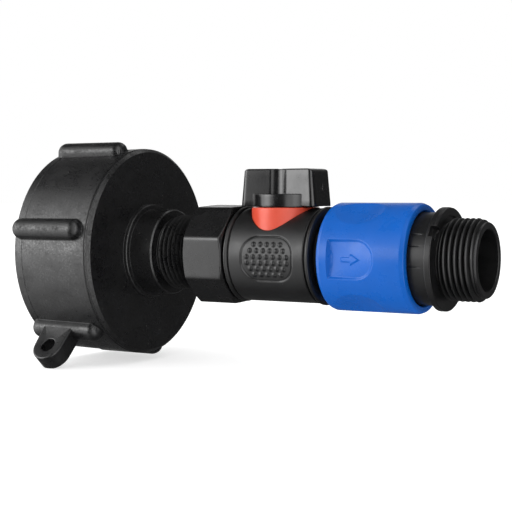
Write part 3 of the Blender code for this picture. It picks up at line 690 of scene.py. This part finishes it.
def tank_cap():
    low, high = CAP_LOW.x, CAP_HIGH.x
    fine = ((0.0, 1.6, 0.12), (1.6, 5.0, 0.3), (25.0, 28.4, 0.3), (28.4, 30.8, 0.12))
    stations = spaced(low, CAP_FACE_X, 2.0, fine)
    bands = ((-4.1, -2.7, 0.13), (-2.7, 2.7, 0.45), (2.7, 4.1, 0.13))
    turns = sectors(RIB_ANGLE, RIB_COUNT, CAP_R_RIM, 2.2, bands)
    outside = path(
        (low, CAP_R_RIM - 0.9), (low, CAP_R_RIM, 0.5), (low + 3.2, CAP_R_RIM + 0.1),
        (low + 3.35, CAP_R_RIM - 0.02), (low + 3.6, CAP_R_RIM - 0.02), (low + 3.75, CAP_R_RIM + 0.12),
        (CAP_FACE_X - 2.2, CAP_R_FRONT),
        (CAP_FACE_X - 2.0, CAP_R_FRONT - 0.35), (CAP_FACE_X - 1.6, CAP_R_FRONT - 0.35),
        (CAP_FACE_X - 1.1, CAP_R_FRONT, 0.4), (CAP_FACE_X - 0.02, CAP_R_FRONT - 1.25),
    )
    order = np.argsort(outside[0], kind="stable")
    line_x, line_r = outside[0][order], outside[1][order]
    xs = np.unique(np.round(np.concatenate([line_x, stations]), 3))
    wall = (xs, np.interp(xs, line_x, line_r))
    face = path(
        (CAP_FACE_X, CAP_R_FRONT - 1.4), (CAP_FACE_X, 32.0), (CAP_FACE_X, 26.0), (CAP_FACE_X, 21.0),
        (CAP_FACE_X, COLLAR_R, 0.15), (COLLAR_X, COLLAR_R - 0.1, 0.6),
        (COLLAR_X, NECK_R, 0.15), (NECK_END_X - 2.2, NECK_R), (NECK_END_X - 0.5, NECK_R, 0.25),
        (NECK_END_X, NECK_R - 0.5, 0.2), (NECK_END_X, ROOT_R, 0.25), (NECK_END_X + 0.7, ROOT_R),
    )
    stub = thread(NECK_END_X + 0.8, high - 0.9, ROOT_R, G34_MAJOR, G34_PITCH, v_shape(8, 1.5), turns)
    tip = path(
        (high - 0.8, ROOT_R), (high, ROOT_R - 0.3, 0.2), (high, STUB_BORE, 0.3),
        (CAP_WALL_X, STUB_BORE, 0.3), (CAP_WALL_X, CAP_THREAD_MAJOR, 0.5),
        (CAP_WALL_X - 1.8, CAP_THREAD_MAJOR),
    )
    inside = thread(1.2, 24.6, CAP_THREAD_MINOR, CAP_THREAD_MAJOR, CAP_THREAD_PITCH, BUTTRESS_SHAPE, turns,
                    inside=True)
    mouth = path((low + 1.1, CAP_THREAD_MAJOR), (low, CAP_THREAD_MAJOR + 1.2, 0.3), (low, CAP_R_RIM - 1.2))
    cap = spin("cap_shell", [wall, face, stub, tip, inside, mouth], turns, {0: cap_wall, 1: cap_face})
    return boolean(cap, tether_eye(), "UNION")


def tether_eye():
    """A flat lug with round edges and a countersunk hole, standing radially on the cap."""
    half = EYE_HALF_WIDTH
    outline = np.concatenate([
        [(EYE_X + half + 1.2, EYE_FOOT_R), (EYE_X + half + 0.4, EYE_FOOT_R + 4.0)],
        arc(EYE_X, EYE_REACH, half, half, 0.0, 180.0, 25),
        [(EYE_X - half - 0.4, EYE_FOOT_R + 4.0), (EYE_X - half - 1.2, EYE_FOOT_R)],
    ])
    outline = soften(outline, 0.5, 0.4)
    centre = np.array([EYE_X, EYE_REACH])
    hole = outline - centre
    hole = centre + hole / np.linalg.norm(hole, axis=1, keepdims=True) * EYE_HOLE_R
    thick = EYE_HALF_THICK
    rings = []
    for level, amount in round_levels(-thick, thick, 0.55, 0.55):
        rings.append(place(inset(outline, amount), level, "Z"))
    rings.append(place(inset(outline, 0.7), thick, "Z"))
    for level, amount in reversed(round_levels(-thick, thick, 0.35, 0.35)):
        rings.append(place(hole + (hole - centre) / EYE_HOLE_R * amount, level, "Z"))
    rings.append(place(inset(outline, 0.7), -thick, "Z"))
    eye = solid("eye", np.concatenate(rings), tube_faces(len(rings), len(outline), closed=True))
    return turned(eye, EYE_ANGLE)


def tank_gasket():
    low, high = GASKET_LOW.x, GASKET_HIGH.x
    section = path(
        (low, 14.0), (low, 26.9, 0.3), (low + 0.5, 27.2, 0.2), (high, 27.2, 0.3), (high, 11.0, 0.3),
        (low + 0.3, 11.0, 0.2), (low, 11.3, 0.2), (low, 13.0),
    )
    return spin("gasket_ring", [section], even(120))


def nut_wall(x, turn, r):
    """Eight flats with softly rounded corners, run out into the turned end chamfers."""
    facets = [np.cos(turn - math.radians(NUT_TURN) - i * TAU / NUT_SIDES) for i in range(NUT_SIDES)]
    total = sum(np.clip(facet, 0.0, None) ** NUT_SHARPNESS for facet in facets)
    flats = NUT_FLAT / total ** (1.0 / NUT_SHARPNESS)
    share = np.clip(0.5 + 0.5 * (r - flats) / NUT_BLEND, 0.0, 1.0)
    return x, r + (flats - r) * share - NUT_BLEND * share * (1.0 - share)


def swivel_nut():
    low, high = NUT_LOW.x, NUT_HIGH.x
    corner = NUT_FLAT / math.cos(math.pi / NUT_SIDES) + GAP
    turns = sectors(NUT_TURN + 180.0 / NUT_SIDES, NUT_SIDES, NUT_FLAT, 0.5, ((-1.4, 1.4, 0.14),))
    stations = spaced(low, high, 1.2, ((low, low + 1.4, 0.07), (high - 1.6, high, 0.07)))
    outside = path(
        (low, NUT_FLAT - 0.35), (low + 0.12, NUT_FLAT - 0.05), (low + 1.0, corner), (high - 1.15, corner),
        (high - 0.12, NUT_FLAT - 0.05), (high, NUT_FLAT - 0.35), at=stations,
    )
    front = path(
        (high, NUT_FLAT - 0.6), (high, TAIL_R + GAP, 0.3), (high - 2.2, TAIL_R + GAP, 0.2),
        (high - 2.2, NUT_GROOVE_R, 0.3), (high - 3.4, NUT_GROOVE_R),
    )
    grip = thread(
        low + 0.4, high - 4.5, NUT_RIDGE_R, NUT_GROOVE_R, G34_PITCH, v_shape(8, 1.0), turns, inside=True,
    )
    back = path((low + 0.3, NUT_GROOVE_R), (low, NUT_GROOVE_R + 0.5, 0.2), (low, NUT_FLAT - 0.6))
    return spin("nut_shell", [outside, front, grip, back], turns, {0: nut_wall})


def pad_relief(x, turn, r):
    """A shallow oval pad with rows of round bumps on each side of the valve body."""
    sink = np.zeros_like(r)
    for centre, side in ((180.0, -1.0), (0.0, 1.0)):
        up = arc_offset(turn, centre) * side * BODY_R
        up = np.where(np.abs(up) > 14.0, 99.0, up)
        half_up = (PAD_HIGH - PAD_LOW) / 2.0
        px = np.abs(x - PAD_X) - (PAD_HALF_L - PAD_CORNER)
        pu = np.abs(up - (PAD_HIGH + PAD_LOW) / 2.0) - (half_up - PAD_CORNER)
        outside = np.hypot(np.maximum(px, 0.0), np.maximum(pu, 0.0))
        gap = outside + np.minimum(np.maximum(px, pu), 0.0) - PAD_CORNER
        sink = sink - PAD_DEPTH * (1.0 - smoothstep(gap, -0.3, 0.12))
        sink = sink - 0.14 * np.exp(-((gap + 0.25) / 0.2) ** 2)
        for phi, count in BUMP_ROWS:
            level = math.radians(phi) * BODY_R
            for i in range(count):
                bump_x = BUMP_X + (i - (count - 1) / 2.0) * BUMP_PITCH
                away = np.hypot(x - bump_x, up - level) / BUMP_R
                sink = sink + BUMP_RISE * np.clip(1.0 - away ** 2, 0.0, None) ** 0.75
    return x, r + sink


def valve_body():
    low, high = BODY_LOW.x, BODY_HIGH.x
    start, end = PAD_X - PAD_HALF_L - 0.6, PAD_X + PAD_HALF_L + 0.6
    reach = max(-PAD_LOW, PAD_HIGH) + 0.6
    turns = sectors(180.0, 2, BODY_R, 0.9, ((-reach, reach, 0.2),))
    stations = spaced(low, high, 1.5, ((start, end, 0.2),))
    outside = path(
        (low, 15.2), (low + 0.05, 15.7), (low + 0.5, 16.4, 0.35), (low + 1.15, 16.4, 0.35), (low + 1.6, 15.8),
        (low + 1.7, 15.35), (low + 2.15, 15.3), (low + 2.3, BODY_R, 0.3), (high - 2.3, BODY_R, 0.3),
        (high - 2.15, 15.3), (high - 1.7, 15.35), (high - 1.6, 15.8), (high - 1.15, 16.5, 0.35),
        (high - 0.5, 16.5, 0.35), (high - 0.05, 15.8), (high, 15.2), at=stations,
    )
    inside = path(
        (high, 15.0), (high, CHAMBER_R, 0.3), (BALL_X - 9.9, CHAMBER_R, 0.3),
        (BALL_X - 9.9, TAIL_R + GAP, 0.3), (low, TAIL_R + GAP, 0.3), (low, 15.0),
    )
    body = spin("valve_shell", [outside, inside], turns, {0: pad_relief})
    pocket = cutter(ring_line(BALL_X, 0.0, RING_RX + RING_PLAY, RING_RY + RING_PLAY, 160), RING_FOOT, 22.0)
    boolean(pocket, drum(RING_SEAT_R, *SEAT_SPAN), "DIFFERENCE")
    boolean(body, pocket, "DIFFERENCE")
    boolean(body, cutter(post(BOSS_R), 13.4, BOSS_TOP), "UNION")
    boolean(body, cutter(post(STEM_R + GAP, 48), 8.0, 24.0), "DIFFERENCE")
    return boolean(body, cutter(post(4.7, 48), 8.0, 13.2), "DIFFERENCE")


def stem_ring():
    levels = round_levels(RING_FOOT, RING_TOP, 0.2, 0.35)
    ring = loft("red_ring", ring_line(BALL_X, 0.0, RING_RX, RING_RY, 160), levels, "Z")
    boolean(ring, drum(RING_SEAT_R + GAP, *SEAT_SPAN), "DIFFERENCE")
    return boolean(ring, cutter(post(BOSS_R + GAP), 3.0, 22.0), "DIFFERENCE")


def handle_outline():
    """A bar with round corners, narrower at its middle, with an upright flute in the middle of each side."""
    half_l, half_t, corner = HANDLE_HALF_L, HANDLE_HALF_T, HANDLE_END_ROUND
    spread = math.degrees(math.acos(FLUTE_OUT / FLUTE_R))
    pieces = []
    for side, base, middle in ((1, 0.0, 270.0), (-1, 180.0, 90.0)):
        corner_x, corner_y = side * (half_l - corner), side * (half_t - corner)
        pieces.append(arc(corner_x, corner_y, corner, corner, base, base + 90.0, 9))
        flute_y = side * (HANDLE_WAIST + FLUTE_OUT)
        pieces.append(arc(0.0, flute_y, FLUTE_R, FLUTE_R, middle + spread, middle - spread, 25))
        pieces.append(arc(-corner_x, corner_y, corner, corner, base + 90.0, base + 180.0, 9))
    return soften(np.concatenate(pieces), 0.22, 0.28) + np.array([BALL_X, 0.0])


def tapered(obj):
    """Draw the ends of the handle in towards its top."""
    low, high = HANDLE_LOW.z * MM, HANDLE_HIGH.z * MM
    middle = BALL_X * MM
    for vert in obj.data.vertices:
        share = (vert.co.z - low) / (high - low)
        vert.co.x = middle + (vert.co.x - middle) * (1.0 - HANDLE_TAPER * share)
    return obj


def valve_handle():
    low, high = HANDLE_LOW.z, HANDLE_HIGH.z
    levels = round_levels(low, high, 0.25, 0.6, HANDLE_DRAFT)
    handle = tapered(loft("handle_grip", handle_outline(), levels, "Z"))
    side_view = box_line(BALL_X, high - 15.0, HANDLE_HALF_L + 0.02, 15.0, HANDLE_CORNER, 12)
    boolean(handle, tapered(cutter(side_view, -10.0, 10.0, "Y")), "INTERSECT")
    mark = cutter(ring_line(0.0, low + 7.0, 0.6, 1.9, 40), BALL_X + HANDLE_HALF_L - 0.8, BALL_X + 20.0, "X")
    boolean(handle, mark, "DIFFERENCE")
    hub_levels = round_levels(low - HUB_DROP, HUB_TOP, 0.2, 0.3)
    hub = loft("hub", post(HUB_R, 160), hub_levels, "Z")
    boolean(handle, hub, "UNION")
    for outline, start, end in (
        (post(BOSS_R + GAP), low - 4.0, BOSS_TOP + GAP),
        (box_line(BALL_X, 0.0, 3.2, 3.2, 1.2), low - 2.0, 25.3),
        (post(4.1, 64), 26.6, high + 3.0),
        (post(1.8, 32), 22.0, high + 1.0),
    ):
        boolean(handle, cutter(outline, start, end), "DIFFERENCE")
    return handle


def handle_screw():
    """A pan head with a domed top and a cross recess, on a plain shank."""
    low, high = SCREW_LOW.z, SCREW_HIGH.z
    levels = [(high - 1.8, 0.15), (high - 1.65, 0.0), (high - 0.9, 0.0)]
    for i in range(1, 8):
        tilt = 0.5 * math.pi * i / 8
        levels.append((high - 0.9 + 0.9 * math.sin(tilt), 2.6 * (1.0 - math.cos(tilt))))
    screw = loft("screw", post(3.6, 64), levels, "Z")
    shank_levels = ((low, 0.4), (low + 0.6, 0.0), (high - 1.2, 0.0))
    shank = loft("shank", post(1.4, 32), shank_levels, "Z")
    boolean(screw, shank, "UNION")
    for half_x, half_y in ((2.3, 0.38), (0.38, 2.3)):
        slot = cutter(box_line(BALL_X, 0.0, half_x, half_y, 0.12, 3), high - 1.0, high + 1.0)
        boolean(screw, slot, "DIFFERENCE")
    return screw


def valve_ball():
    low = math.asin(BALL_BORE / BALL_R)
    tilts = np.linspace(low, math.pi - low, 40)
    sphere = (BALL_X - BALL_R * np.cos(tilts), BALL_R * np.sin(tilts))
    reach = BALL_R * math.cos(low)
    bore = path(
        (BALL_X + reach, BALL_BORE), (BALL_X + reach - 0.3, BALL_BORE - 0.1),
        (BALL_X - reach + 0.3, BALL_BORE - 0.1), (BALL_X - reach, BALL_BORE),
    )
    ball = spin("ball", [sphere, bore], even(96))
    return boolean(ball, cutter(box_line(BALL_X, 0.0, 2.5, 14.0, 0.3, 4), 8.9, 14.0), "DIFFERENCE")


def inlet_tail():
    low, high = TAIL_LOW.x, TAIL_HIGH.x
    shoulder = NUT_HIGH.x - 2.5
    section = path(
        (low + 2.0, BALL_BORE), (low, BALL_BORE, 0.3), (low, TAIL_FLANGE_R, 0.3),
        (shoulder, TAIL_FLANGE_R, 0.2), (shoulder, TAIL_R, 0.2), (high, TAIL_R, 0.3), (high, BALL_BORE, 0.2),
        (high - 2.0, BALL_BORE),
    )
    return spin("tail_tube", [section], even(96))


def outlet_nipple():
    low, high = NIPPLE_LOW.x, NIPPLE_HIGH.x
    collar = BODY_HIGH.x + GAP
    seat = high - 6.6
    section = path(
        (low + 1.0, BALL_BORE), (low, BALL_BORE, 0.2), (low, CHAMBER_R - GAP, 0.3),
        (collar, CHAMBER_R - GAP, 0.1), (collar, 13.2, 0.2), (collar + 1.5, 13.2, 0.3),
        (collar + 1.5, 8.6, 0.5), (seat - 6.7, 8.6, 0.4), (seat - 6.7, 10.4, 0.3), (seat - 4.4, 10.4, 0.3),
        (seat - 3.0, 9.4, 0.3), (seat, 9.4, 0.1), (seat, 7.8, 0.2), (seat + 2.2, 7.8, 0.2),
        (seat + 2.2, 9.4, 0.1), (high - 0.8, 9.4, 0.2), (high, 8.6, 0.2), (high, 6.4, 0.3),
        (low + 3.0, 6.4, 0.3), (low + 1.5, 7.6),
    )
    return spin("nipple_tube", [section], even(96))


def sleeve_relief(x, turn, r):
    """Two arrow recesses, square at the tank end and round at the hose end, and four oval thumb dishes."""
    phi = arc_offset(turn, 0.0, RECESS_COUNT)
    across = np.abs(SLEEVE_R * phi)
    side = np.hypot(np.maximum(x - RECESS_BEND_X, 0.0), across) - RECESS_HALF
    inside = 1.0 - smoothstep(side, -0.6, 0.15)
    along = np.clip((x - RECESS_START_X) / (RECESS_END_X - RECESS_START_X), 0.0, 1.0)
    crown = 1.0 - 0.8 * np.clip(across / RECESS_HALF, 0.0, 1.0) ** 2
    floor = RECESS_RIM + (RECESS_DEPTH - RECESS_RIM) * (1.0 - along) * crown
    wall = np.clip((x - RECESS_START_X) * RECESS_WALL_SLOPE, 0.0, None)
    depth = np.minimum(floor, wall) * inside
    shaft = np.maximum(np.maximum(ARROW_TAIL_X - x, x - ARROW_NECK_X - 0.5), across - 0.9)
    slope = ARROW_HALF / (ARROW_TIP_X - ARROW_NECK_X)
    head = np.maximum(ARROW_NECK_X - x, (across - (ARROW_TIP_X - x) * slope) / math.hypot(1.0, slope))
    arrow = 1.0 - smoothstep(np.minimum(shaft, head), -0.3, 0.15)
    dish = 1.0 - ((x - DISH_MIDDLE_X) / DISH_HALF_L) ** 2 - (across / RECESS_HALF) ** 2
    marked = np.abs(np.sin(turn)) < 0.5
    return x, r - np.where(marked, depth - 0.3 * arrow * inside, DISH_DEPTH * np.clip(dish, 0.0, 1.0))


def lock_sleeve():
    low, high = SLEEVE_LOW.x, SLEEVE_HIGH.x
    edge = ((-7.1, -5.7, 0.16), (5.7, 7.1, 0.16), (-5.7, -2.4, 0.25), (2.4, 5.7, 0.25), (-2.4, 2.4, 0.16))
    turns = sectors(0.0, RECESS_COUNT, SLEEVE_R, 0.9, edge)
    stations = spaced(low, high, 2.0, (
        (RECESS_START_X - 0.4, RECESS_START_X + 0.4, 0.1), (RECESS_START_X + 0.4, ARROW_TAIL_X - 0.4, 0.25),
        (ARROW_TAIL_X - 0.4, ARROW_TIP_X + 0.4, 0.16), (ARROW_TIP_X + 0.4, RECESS_END_X + 0.6, 0.25),
    ))
    outside = path(
        (low, SLEEVE_R - 1.5), (low + 0.01, SLEEVE_R - 1.35), (low + 0.3, SLEEVE_R - 0.4, 0.6),
        (low + 1.4, SLEEVE_R, 0.9), (high - 1.6, SLEEVE_R, 0.8), (high - 0.35, SLEEVE_R - 0.45, 0.5),
        (high - 0.01, SLEEVE_R - 1.2), (high, SLEEVE_R - 1.3), at=stations,
    )
    inside = path(
        (high, SLEEVE_R - 1.5), (high, SLEEVE_BORE + 0.4, 0.3), (high - 0.5, SLEEVE_BORE, 0.3),
        (high - 2.3, SLEEVE_BORE, 0.2), (high - 2.3, 16.3, 0.2), (high - 9.4, 16.3, 0.2),
        (high - 9.4, SLEEVE_BORE, 0.2), (low + 4.3, SLEEVE_BORE, 0.2), (low + 4.3, 12.7, 0.2),
        (low + 0.8, 12.7, 0.2), (low, 13.5, 0.2), (low, SLEEVE_R - 1.7),
    )
    return spin("sleeve_shell", [outside, inside], turns, {0: sleeve_relief})


def sleeve_spring():
    """Wire of round section wound on a helix, with its two ends closed flat."""
    wire = 0.75
    mean = SPRING_HIGH.z - wire
    coils = 4.5
    start = SPRING_LOW.x + wire
    end = SPRING_HIGH.x - wire
    steps = 260
    sides = 14
    tilts = np.linspace(0.0, TAU, sides, endpoint=False)
    along = np.array([1.0, 0.0, 0.0])
    rings = []
    for i in range(steps + 1):
        share = i / steps
        turn = TAU * coils * share
        run = share - 0.06 * math.sin(TAU * share) / TAU
        centre = np.array([start + (end - start) * run, mean * math.cos(turn), mean * math.sin(turn)])
        out = np.array([0.0, math.cos(turn), math.sin(turn)])
        rings.append(centre + wire * (np.cos(tilts)[:, None] * out + np.sin(tilts)[:, None] * along))
    return solid("spring_wire", np.concatenate(rings), tube_faces(steps + 1, sides))


def coupler_relief(x, turn, r):
    """Fine axial mould lines on the barrel."""
    lines = np.zeros_like(r)
    for angle in BARREL_LINES + tuple(angle + 180.0 for angle in BARREL_LINES):
        across = BARREL_R * arc_offset(turn, angle)
        lines = lines + np.exp(-(across / 0.13) ** 2)
    fade = (1.0 - smoothstep(x, FLANGE_START_X - 3.0, FLANGE_START_X - 2.2)) * (r > BARREL_R - 0.01)
    return x, r - 0.3 * np.clip(lines, 0.0, 1.0) * fade


def coupler_body():
    low, high = COUPLER_LOW.x, COUPLER_HIGH.x
    marks = [math.radians(angle - 180.0) * BARREL_R for angle in BARREL_LINES]
    turns = sectors(180.0, 2, BARREL_R, 0.8, [(mark - 0.4, mark + 0.4, 0.08) for mark in marks])
    back = path(
        (low + 1.0, OUTLET_BORE), (low, OUTLET_BORE, 0.3), (low, 12.2, 0.3), (BARREL_START_X, 12.2, 0.2),
        (BARREL_START_X, BARREL_R - 0.3),
    )
    groove = low + 17.5
    barrel = path(
        (BARREL_START_X, BARREL_R - 0.15), (BARREL_START_X + 0.2, BARREL_R, 0.1), (groove, BARREL_R, 0.1),
        (groove + 0.01, 13.8, 0.1), (groove + 1.6, 13.8, 0.1), (groove + 1.61, BARREL_R, 0.1),
        (FLANGE_START_X - 4.0, BARREL_R), (FLANGE_START_X - 3.0, BARREL_R), (FLANGE_START_X - 2.2, BARREL_R),
        (FLANGE_START_X - 0.4, BARREL_R),
    )
    flange = path(
        (FLANGE_START_X - 0.2, BARREL_R), (FLANGE_START_X, BARREL_R + 0.2), (FLANGE_START_X, FLANGE_R, 0.25),
        (FLANGE_END_X, FLANGE_R, 0.25), (FLANGE_END_X, ROOT_R, 0.25), (FLANGE_END_X + 0.35, ROOT_R),
    )
    grip = thread(FLANGE_END_X + 0.45, high - 1.0, ROOT_R, G34_MAJOR, G34_PITCH, v_shape(10, 0.5), turns)
    tip = path(
        (high - 0.9, ROOT_R + 0.1), (high - 0.6, 12.1, 0.15), (high, 11.8, 0.25), (high, OUTLET_BORE, 0.35),
        (high - 3.0, OUTLET_BORE),
    )
    coupler = spin("coupler_shell", [back, barrel, flange, grip, tip], turns, {1: coupler_relief})
    lug_out = arc(0.0, 0.0, LUG_R_OUT, LUG_R_OUT, LUG_START, LUG_END, 60)
    lug_in = arc(0.0, 0.0, LUG_R_IN, LUG_R_IN, LUG_END, LUG_START, 60)
    lug_levels = round_levels(FLANGE_END_X - 0.8, FLANGE_END_X + 0.6, 0.1, 0.2)
    boolean(coupler, loft("lug", np.concatenate([lug_out, lug_in]), lug_levels, "X"), "UNION")
    for side in (1, -1):
        outline = box_line(side * 16.0, 0.0, 2.1, 2.0, 0.2, 4)
        notch = cutter(outline, FLANGE_START_X + 0.8, FLANGE_END_X + 2.3, "X")
        boolean(coupler, turned(notch, NOTCH_TURN), "DIFFERENCE")
    return coupler


# The pieces, each with its body, its material slot and the CAD node that it replaces.
settle(tank_cap(), "cap", "cap_plastic", "tank_cap")
settle(tank_gasket(), "cap", "gasket_rubber", "tank_gasket")
settle(swivel_nut(), "nut", "nut_plastic", "swivel_nut")
settle(inlet_tail(), "valve", "tail_plastic", "inlet_tail")
settle(valve_body(), "valve", "body_plastic", "valve_body")
settle(stem_ring(), "valve", "red_plastic", "stem_ring")
settle(outlet_nipple(), "valve", "nipple_plastic", "outlet_nipple")
settle(valve_ball(), "handle", "ball_plastic", "valve_ball")
settle(valve_handle(), "handle", "handle_plastic", "valve_handle")
settle(handle_screw(), "handle", "steel", "handle_screw")
settle(coupler_body(), "coupler", "coupler_plastic", "coupler_body")
settle(lock_sleeve(), "sleeve", "blue_plastic", "lock_sleeve")
spring = settle(sleeve_spring(), "coupler", "steel", "sleeve_spring")
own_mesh(spring)

# The inner pieces whose CAD shape stays.
for row in frame["record"]["subparts"]:
    carried = frame["nodes"][row["node"]]
    if not carried.hide_render:
        carried.data.materials.clear()
        carried.data.materials.append(FINISHES[row["material_slot"]])


# ---------------------------------------------------------------- stage, camera and light

# The fill light's strength, the direction it is strongest from, and how much stronger it is there.
FILL_LIGHT = 1.08
FILL_FROM = (-0.866, -0.5, 0.0)
FILL_BIAS = 0.7
# What reflections see: a dark surround of this brightness, and bright panels.
REFLECTED_LIGHT = 0.09
# Each panel: bearing, half width and blur in degrees; low, high and their blurs as sines of height; and
# its brightness.
PANELS = (
    (-56.0, 22.0, 7.0, 0.15, 0.42, 1.2, 0.4, 3.8),
    (54.0, 20.0, 14.0, -0.5, 0.85, 0.3, 0.2, 2.4),
    (-120.0, 25.0, 30.0, -0.1, 0.3, 0.3, 0.3, 0.8),
)
STAGE_X = 0.08
FLOOR_REACH = 6.0
FLOOR_DROP = 0.0004
# The camera's place in metres, its yaw, pitch and roll in degrees and its lens in millimetres.
CAMERA_AT = (0.28624, -0.36254, 0.0213)
CAMERA_TURN = (29.985, 3.009, -0.06)
CAMERA_LENS = 85.16


def stage_floor():
    """A wide pale floor just under the CAD model, faintly lit from within so that its shadows stay soft."""
    level = CAD_LOW.z - FLOOR_DROP
    mesh = bpy.data.meshes.new("floor")
    bm = bmesh.new()
    bmesh.ops.create_circle(bm, cap_ends=True, segments=96, radius=FLOOR_REACH)
    bmesh.ops.translate(bm, verts=bm.verts, vec=(STAGE_X, 0.0, level))
    bm.to_mesh(mesh)
    bm.free()
    floor = linked("floor", mesh)
    material, tree, shader = new_material("floor_paper", {
        "Roughness": 0.9, "Emission Color": WHITE, "Emission Strength": 0.6, "Specular IOR Level": 0.0,
    })
    coords = node(tree, "ShaderNodeTexCoord").outputs["Object"]
    grey = mixed(tree, noise(tree, coords, 30.0), (0.6, 0.6, 0.6), (0.64, 0.64, 0.64))
    tree.links.new(grey, shader.inputs["Base Color"])
    mesh.materials.append(material)
    floor.visible_glossy = False


def softbox(name, bearing, height, distance, width, tall, power):
    """An area light round the object; bearing is its angle from -Y towards +X in degrees."""
    light = bpy.data.lights.new(name, "AREA")
    light.shape = "RECTANGLE"
    light.size = width
    light.size_y = tall
    light.energy = power
    obj = linked(name, light)
    turn = math.radians(bearing)
    middle = Vector((STAGE_X, 0.0, 0.0))
    obj.location = middle + Vector((math.sin(turn) * distance, -math.cos(turn) * distance, height))
    obj.rotation_mode = "QUATERNION"
    obj.rotation_quaternion = (middle - obj.location).to_track_quat("-Z", "Y")


def reflected_panels(tree):
    """Brightness of the studio by direction, as reflections see it: soft panels on a dark surround."""
    direction = node(tree, "ShaderNodeTexCoord").outputs["Generated"]
    height = node(tree, "ShaderNodeSeparateXYZ", {"Vector": direction}).outputs["Z"]
    flat = node(tree, "ShaderNodeVectorMath", {0: direction, 1: (1.0, 1.0, 0.0)}, operation="MULTIPLY")
    level = node(tree, "ShaderNodeVectorMath", {0: flat.outputs["Vector"]}, operation="NORMALIZE")
    total = REFLECTED_LIGHT
    for bearing, spread, blur, low, high, low_blur, high_blur, strength in PANELS:
        turn = math.radians(bearing)
        ends = {0: level.outputs["Vector"], 1: (math.sin(turn), -math.cos(turn), 0.0)}
        toward = node(tree, "ShaderNodeVectorMath", ends, operation="DOT_PRODUCT").outputs["Value"]
        outer = math.cos(math.radians(spread + blur))
        inner = math.cos(math.radians(spread))
        across = map_range(tree, toward, outer, inner, curve="SMOOTHSTEP")
        below = map_range(tree, height, low - low_blur, low, curve="SMOOTHSTEP")
        above = map_range(tree, height, high, high + high_blur, strength, 0.0, "SMOOTHSTEP")
        lit = joined(tree, "MULTIPLY", joined(tree, "MULTIPLY", across, below), above)
        total = joined(tree, "ADD", total, lit)
    return total


def world_light():
    """White to the camera and as fill light; reflections see soft panels on a dark surround."""
    world = bpy.data.worlds.new("studio")
    world.use_nodes = True
    world.cycles.sampling_method = "NONE"
    tree = world.node_tree
    tree.nodes.clear()
    rays = node(tree, "ShaderNodeLightPath")
    direction = node(tree, "ShaderNodeTexCoord").outputs["Generated"]
    facing = node(tree, "ShaderNodeVectorMath", {0: direction, 1: FILL_FROM}, operation="DOT_PRODUCT")
    low, high = FILL_LIGHT * (1.0 - FILL_BIAS), FILL_LIGHT * (1.0 + FILL_BIAS)
    fill = map_range(tree, facing.outputs["Value"], -1.0, 1.0, low, high)
    shader = None
    for ray, strength in ((None, fill), ("Is Glossy Ray", reflected_panels(tree)), ("Is Camera Ray", 1.0)):
        inputs = {"Color": WHITE, "Strength": strength}
        light = node(tree, "ShaderNodeBackground", inputs).outputs["Background"]
        if ray:
            inputs = {"Fac": rays.outputs[ray], 1: shader, 2: light}
            light = node(tree, "ShaderNodeMixShader", inputs).outputs["Shader"]
        shader = light
    node(tree, "ShaderNodeOutputWorld", {"Surface": shader})
    bpy.context.scene.world = world


def camera():
    data = bpy.data.cameras.new("camera")
    data.sensor_width = 36.0
    data.lens = CAMERA_LENS
    data.clip_start = 0.01
    obj = linked("camera", data)
    yaw, pitch, roll = (math.radians(angle) for angle in CAMERA_TURN)
    ahead = Vector((-math.sin(yaw) * math.cos(pitch), math.cos(yaw) * math.cos(pitch), -math.sin(pitch)))
    level = Vector((math.cos(yaw), math.sin(yaw), 0.0))
    above = level.cross(ahead)
    right = level * math.cos(roll) + above * math.sin(roll)
    up = above * math.cos(roll) - level * math.sin(roll)
    rows = [(right[k], up[k], -ahead[k], CAMERA_AT[k]) for k in range(3)]
    obj.matrix_world = Matrix((*rows, (0.0, 0.0, 0.0, 1.0)))
    bpy.context.scene.camera = obj


stage_floor()
world_light()
softbox("key", -34.0, 0.2, 0.9, 0.55, 0.4, 2.6)
softbox("side", 62.0, 0.2, 0.9, 0.3, 0.5, 0.6)
softbox("top", 170.0, 0.9, 0.7, 0.6, 0.4, 1.0)
camera()
bpy.context.scene.view_settings.view_transform = "Standard"
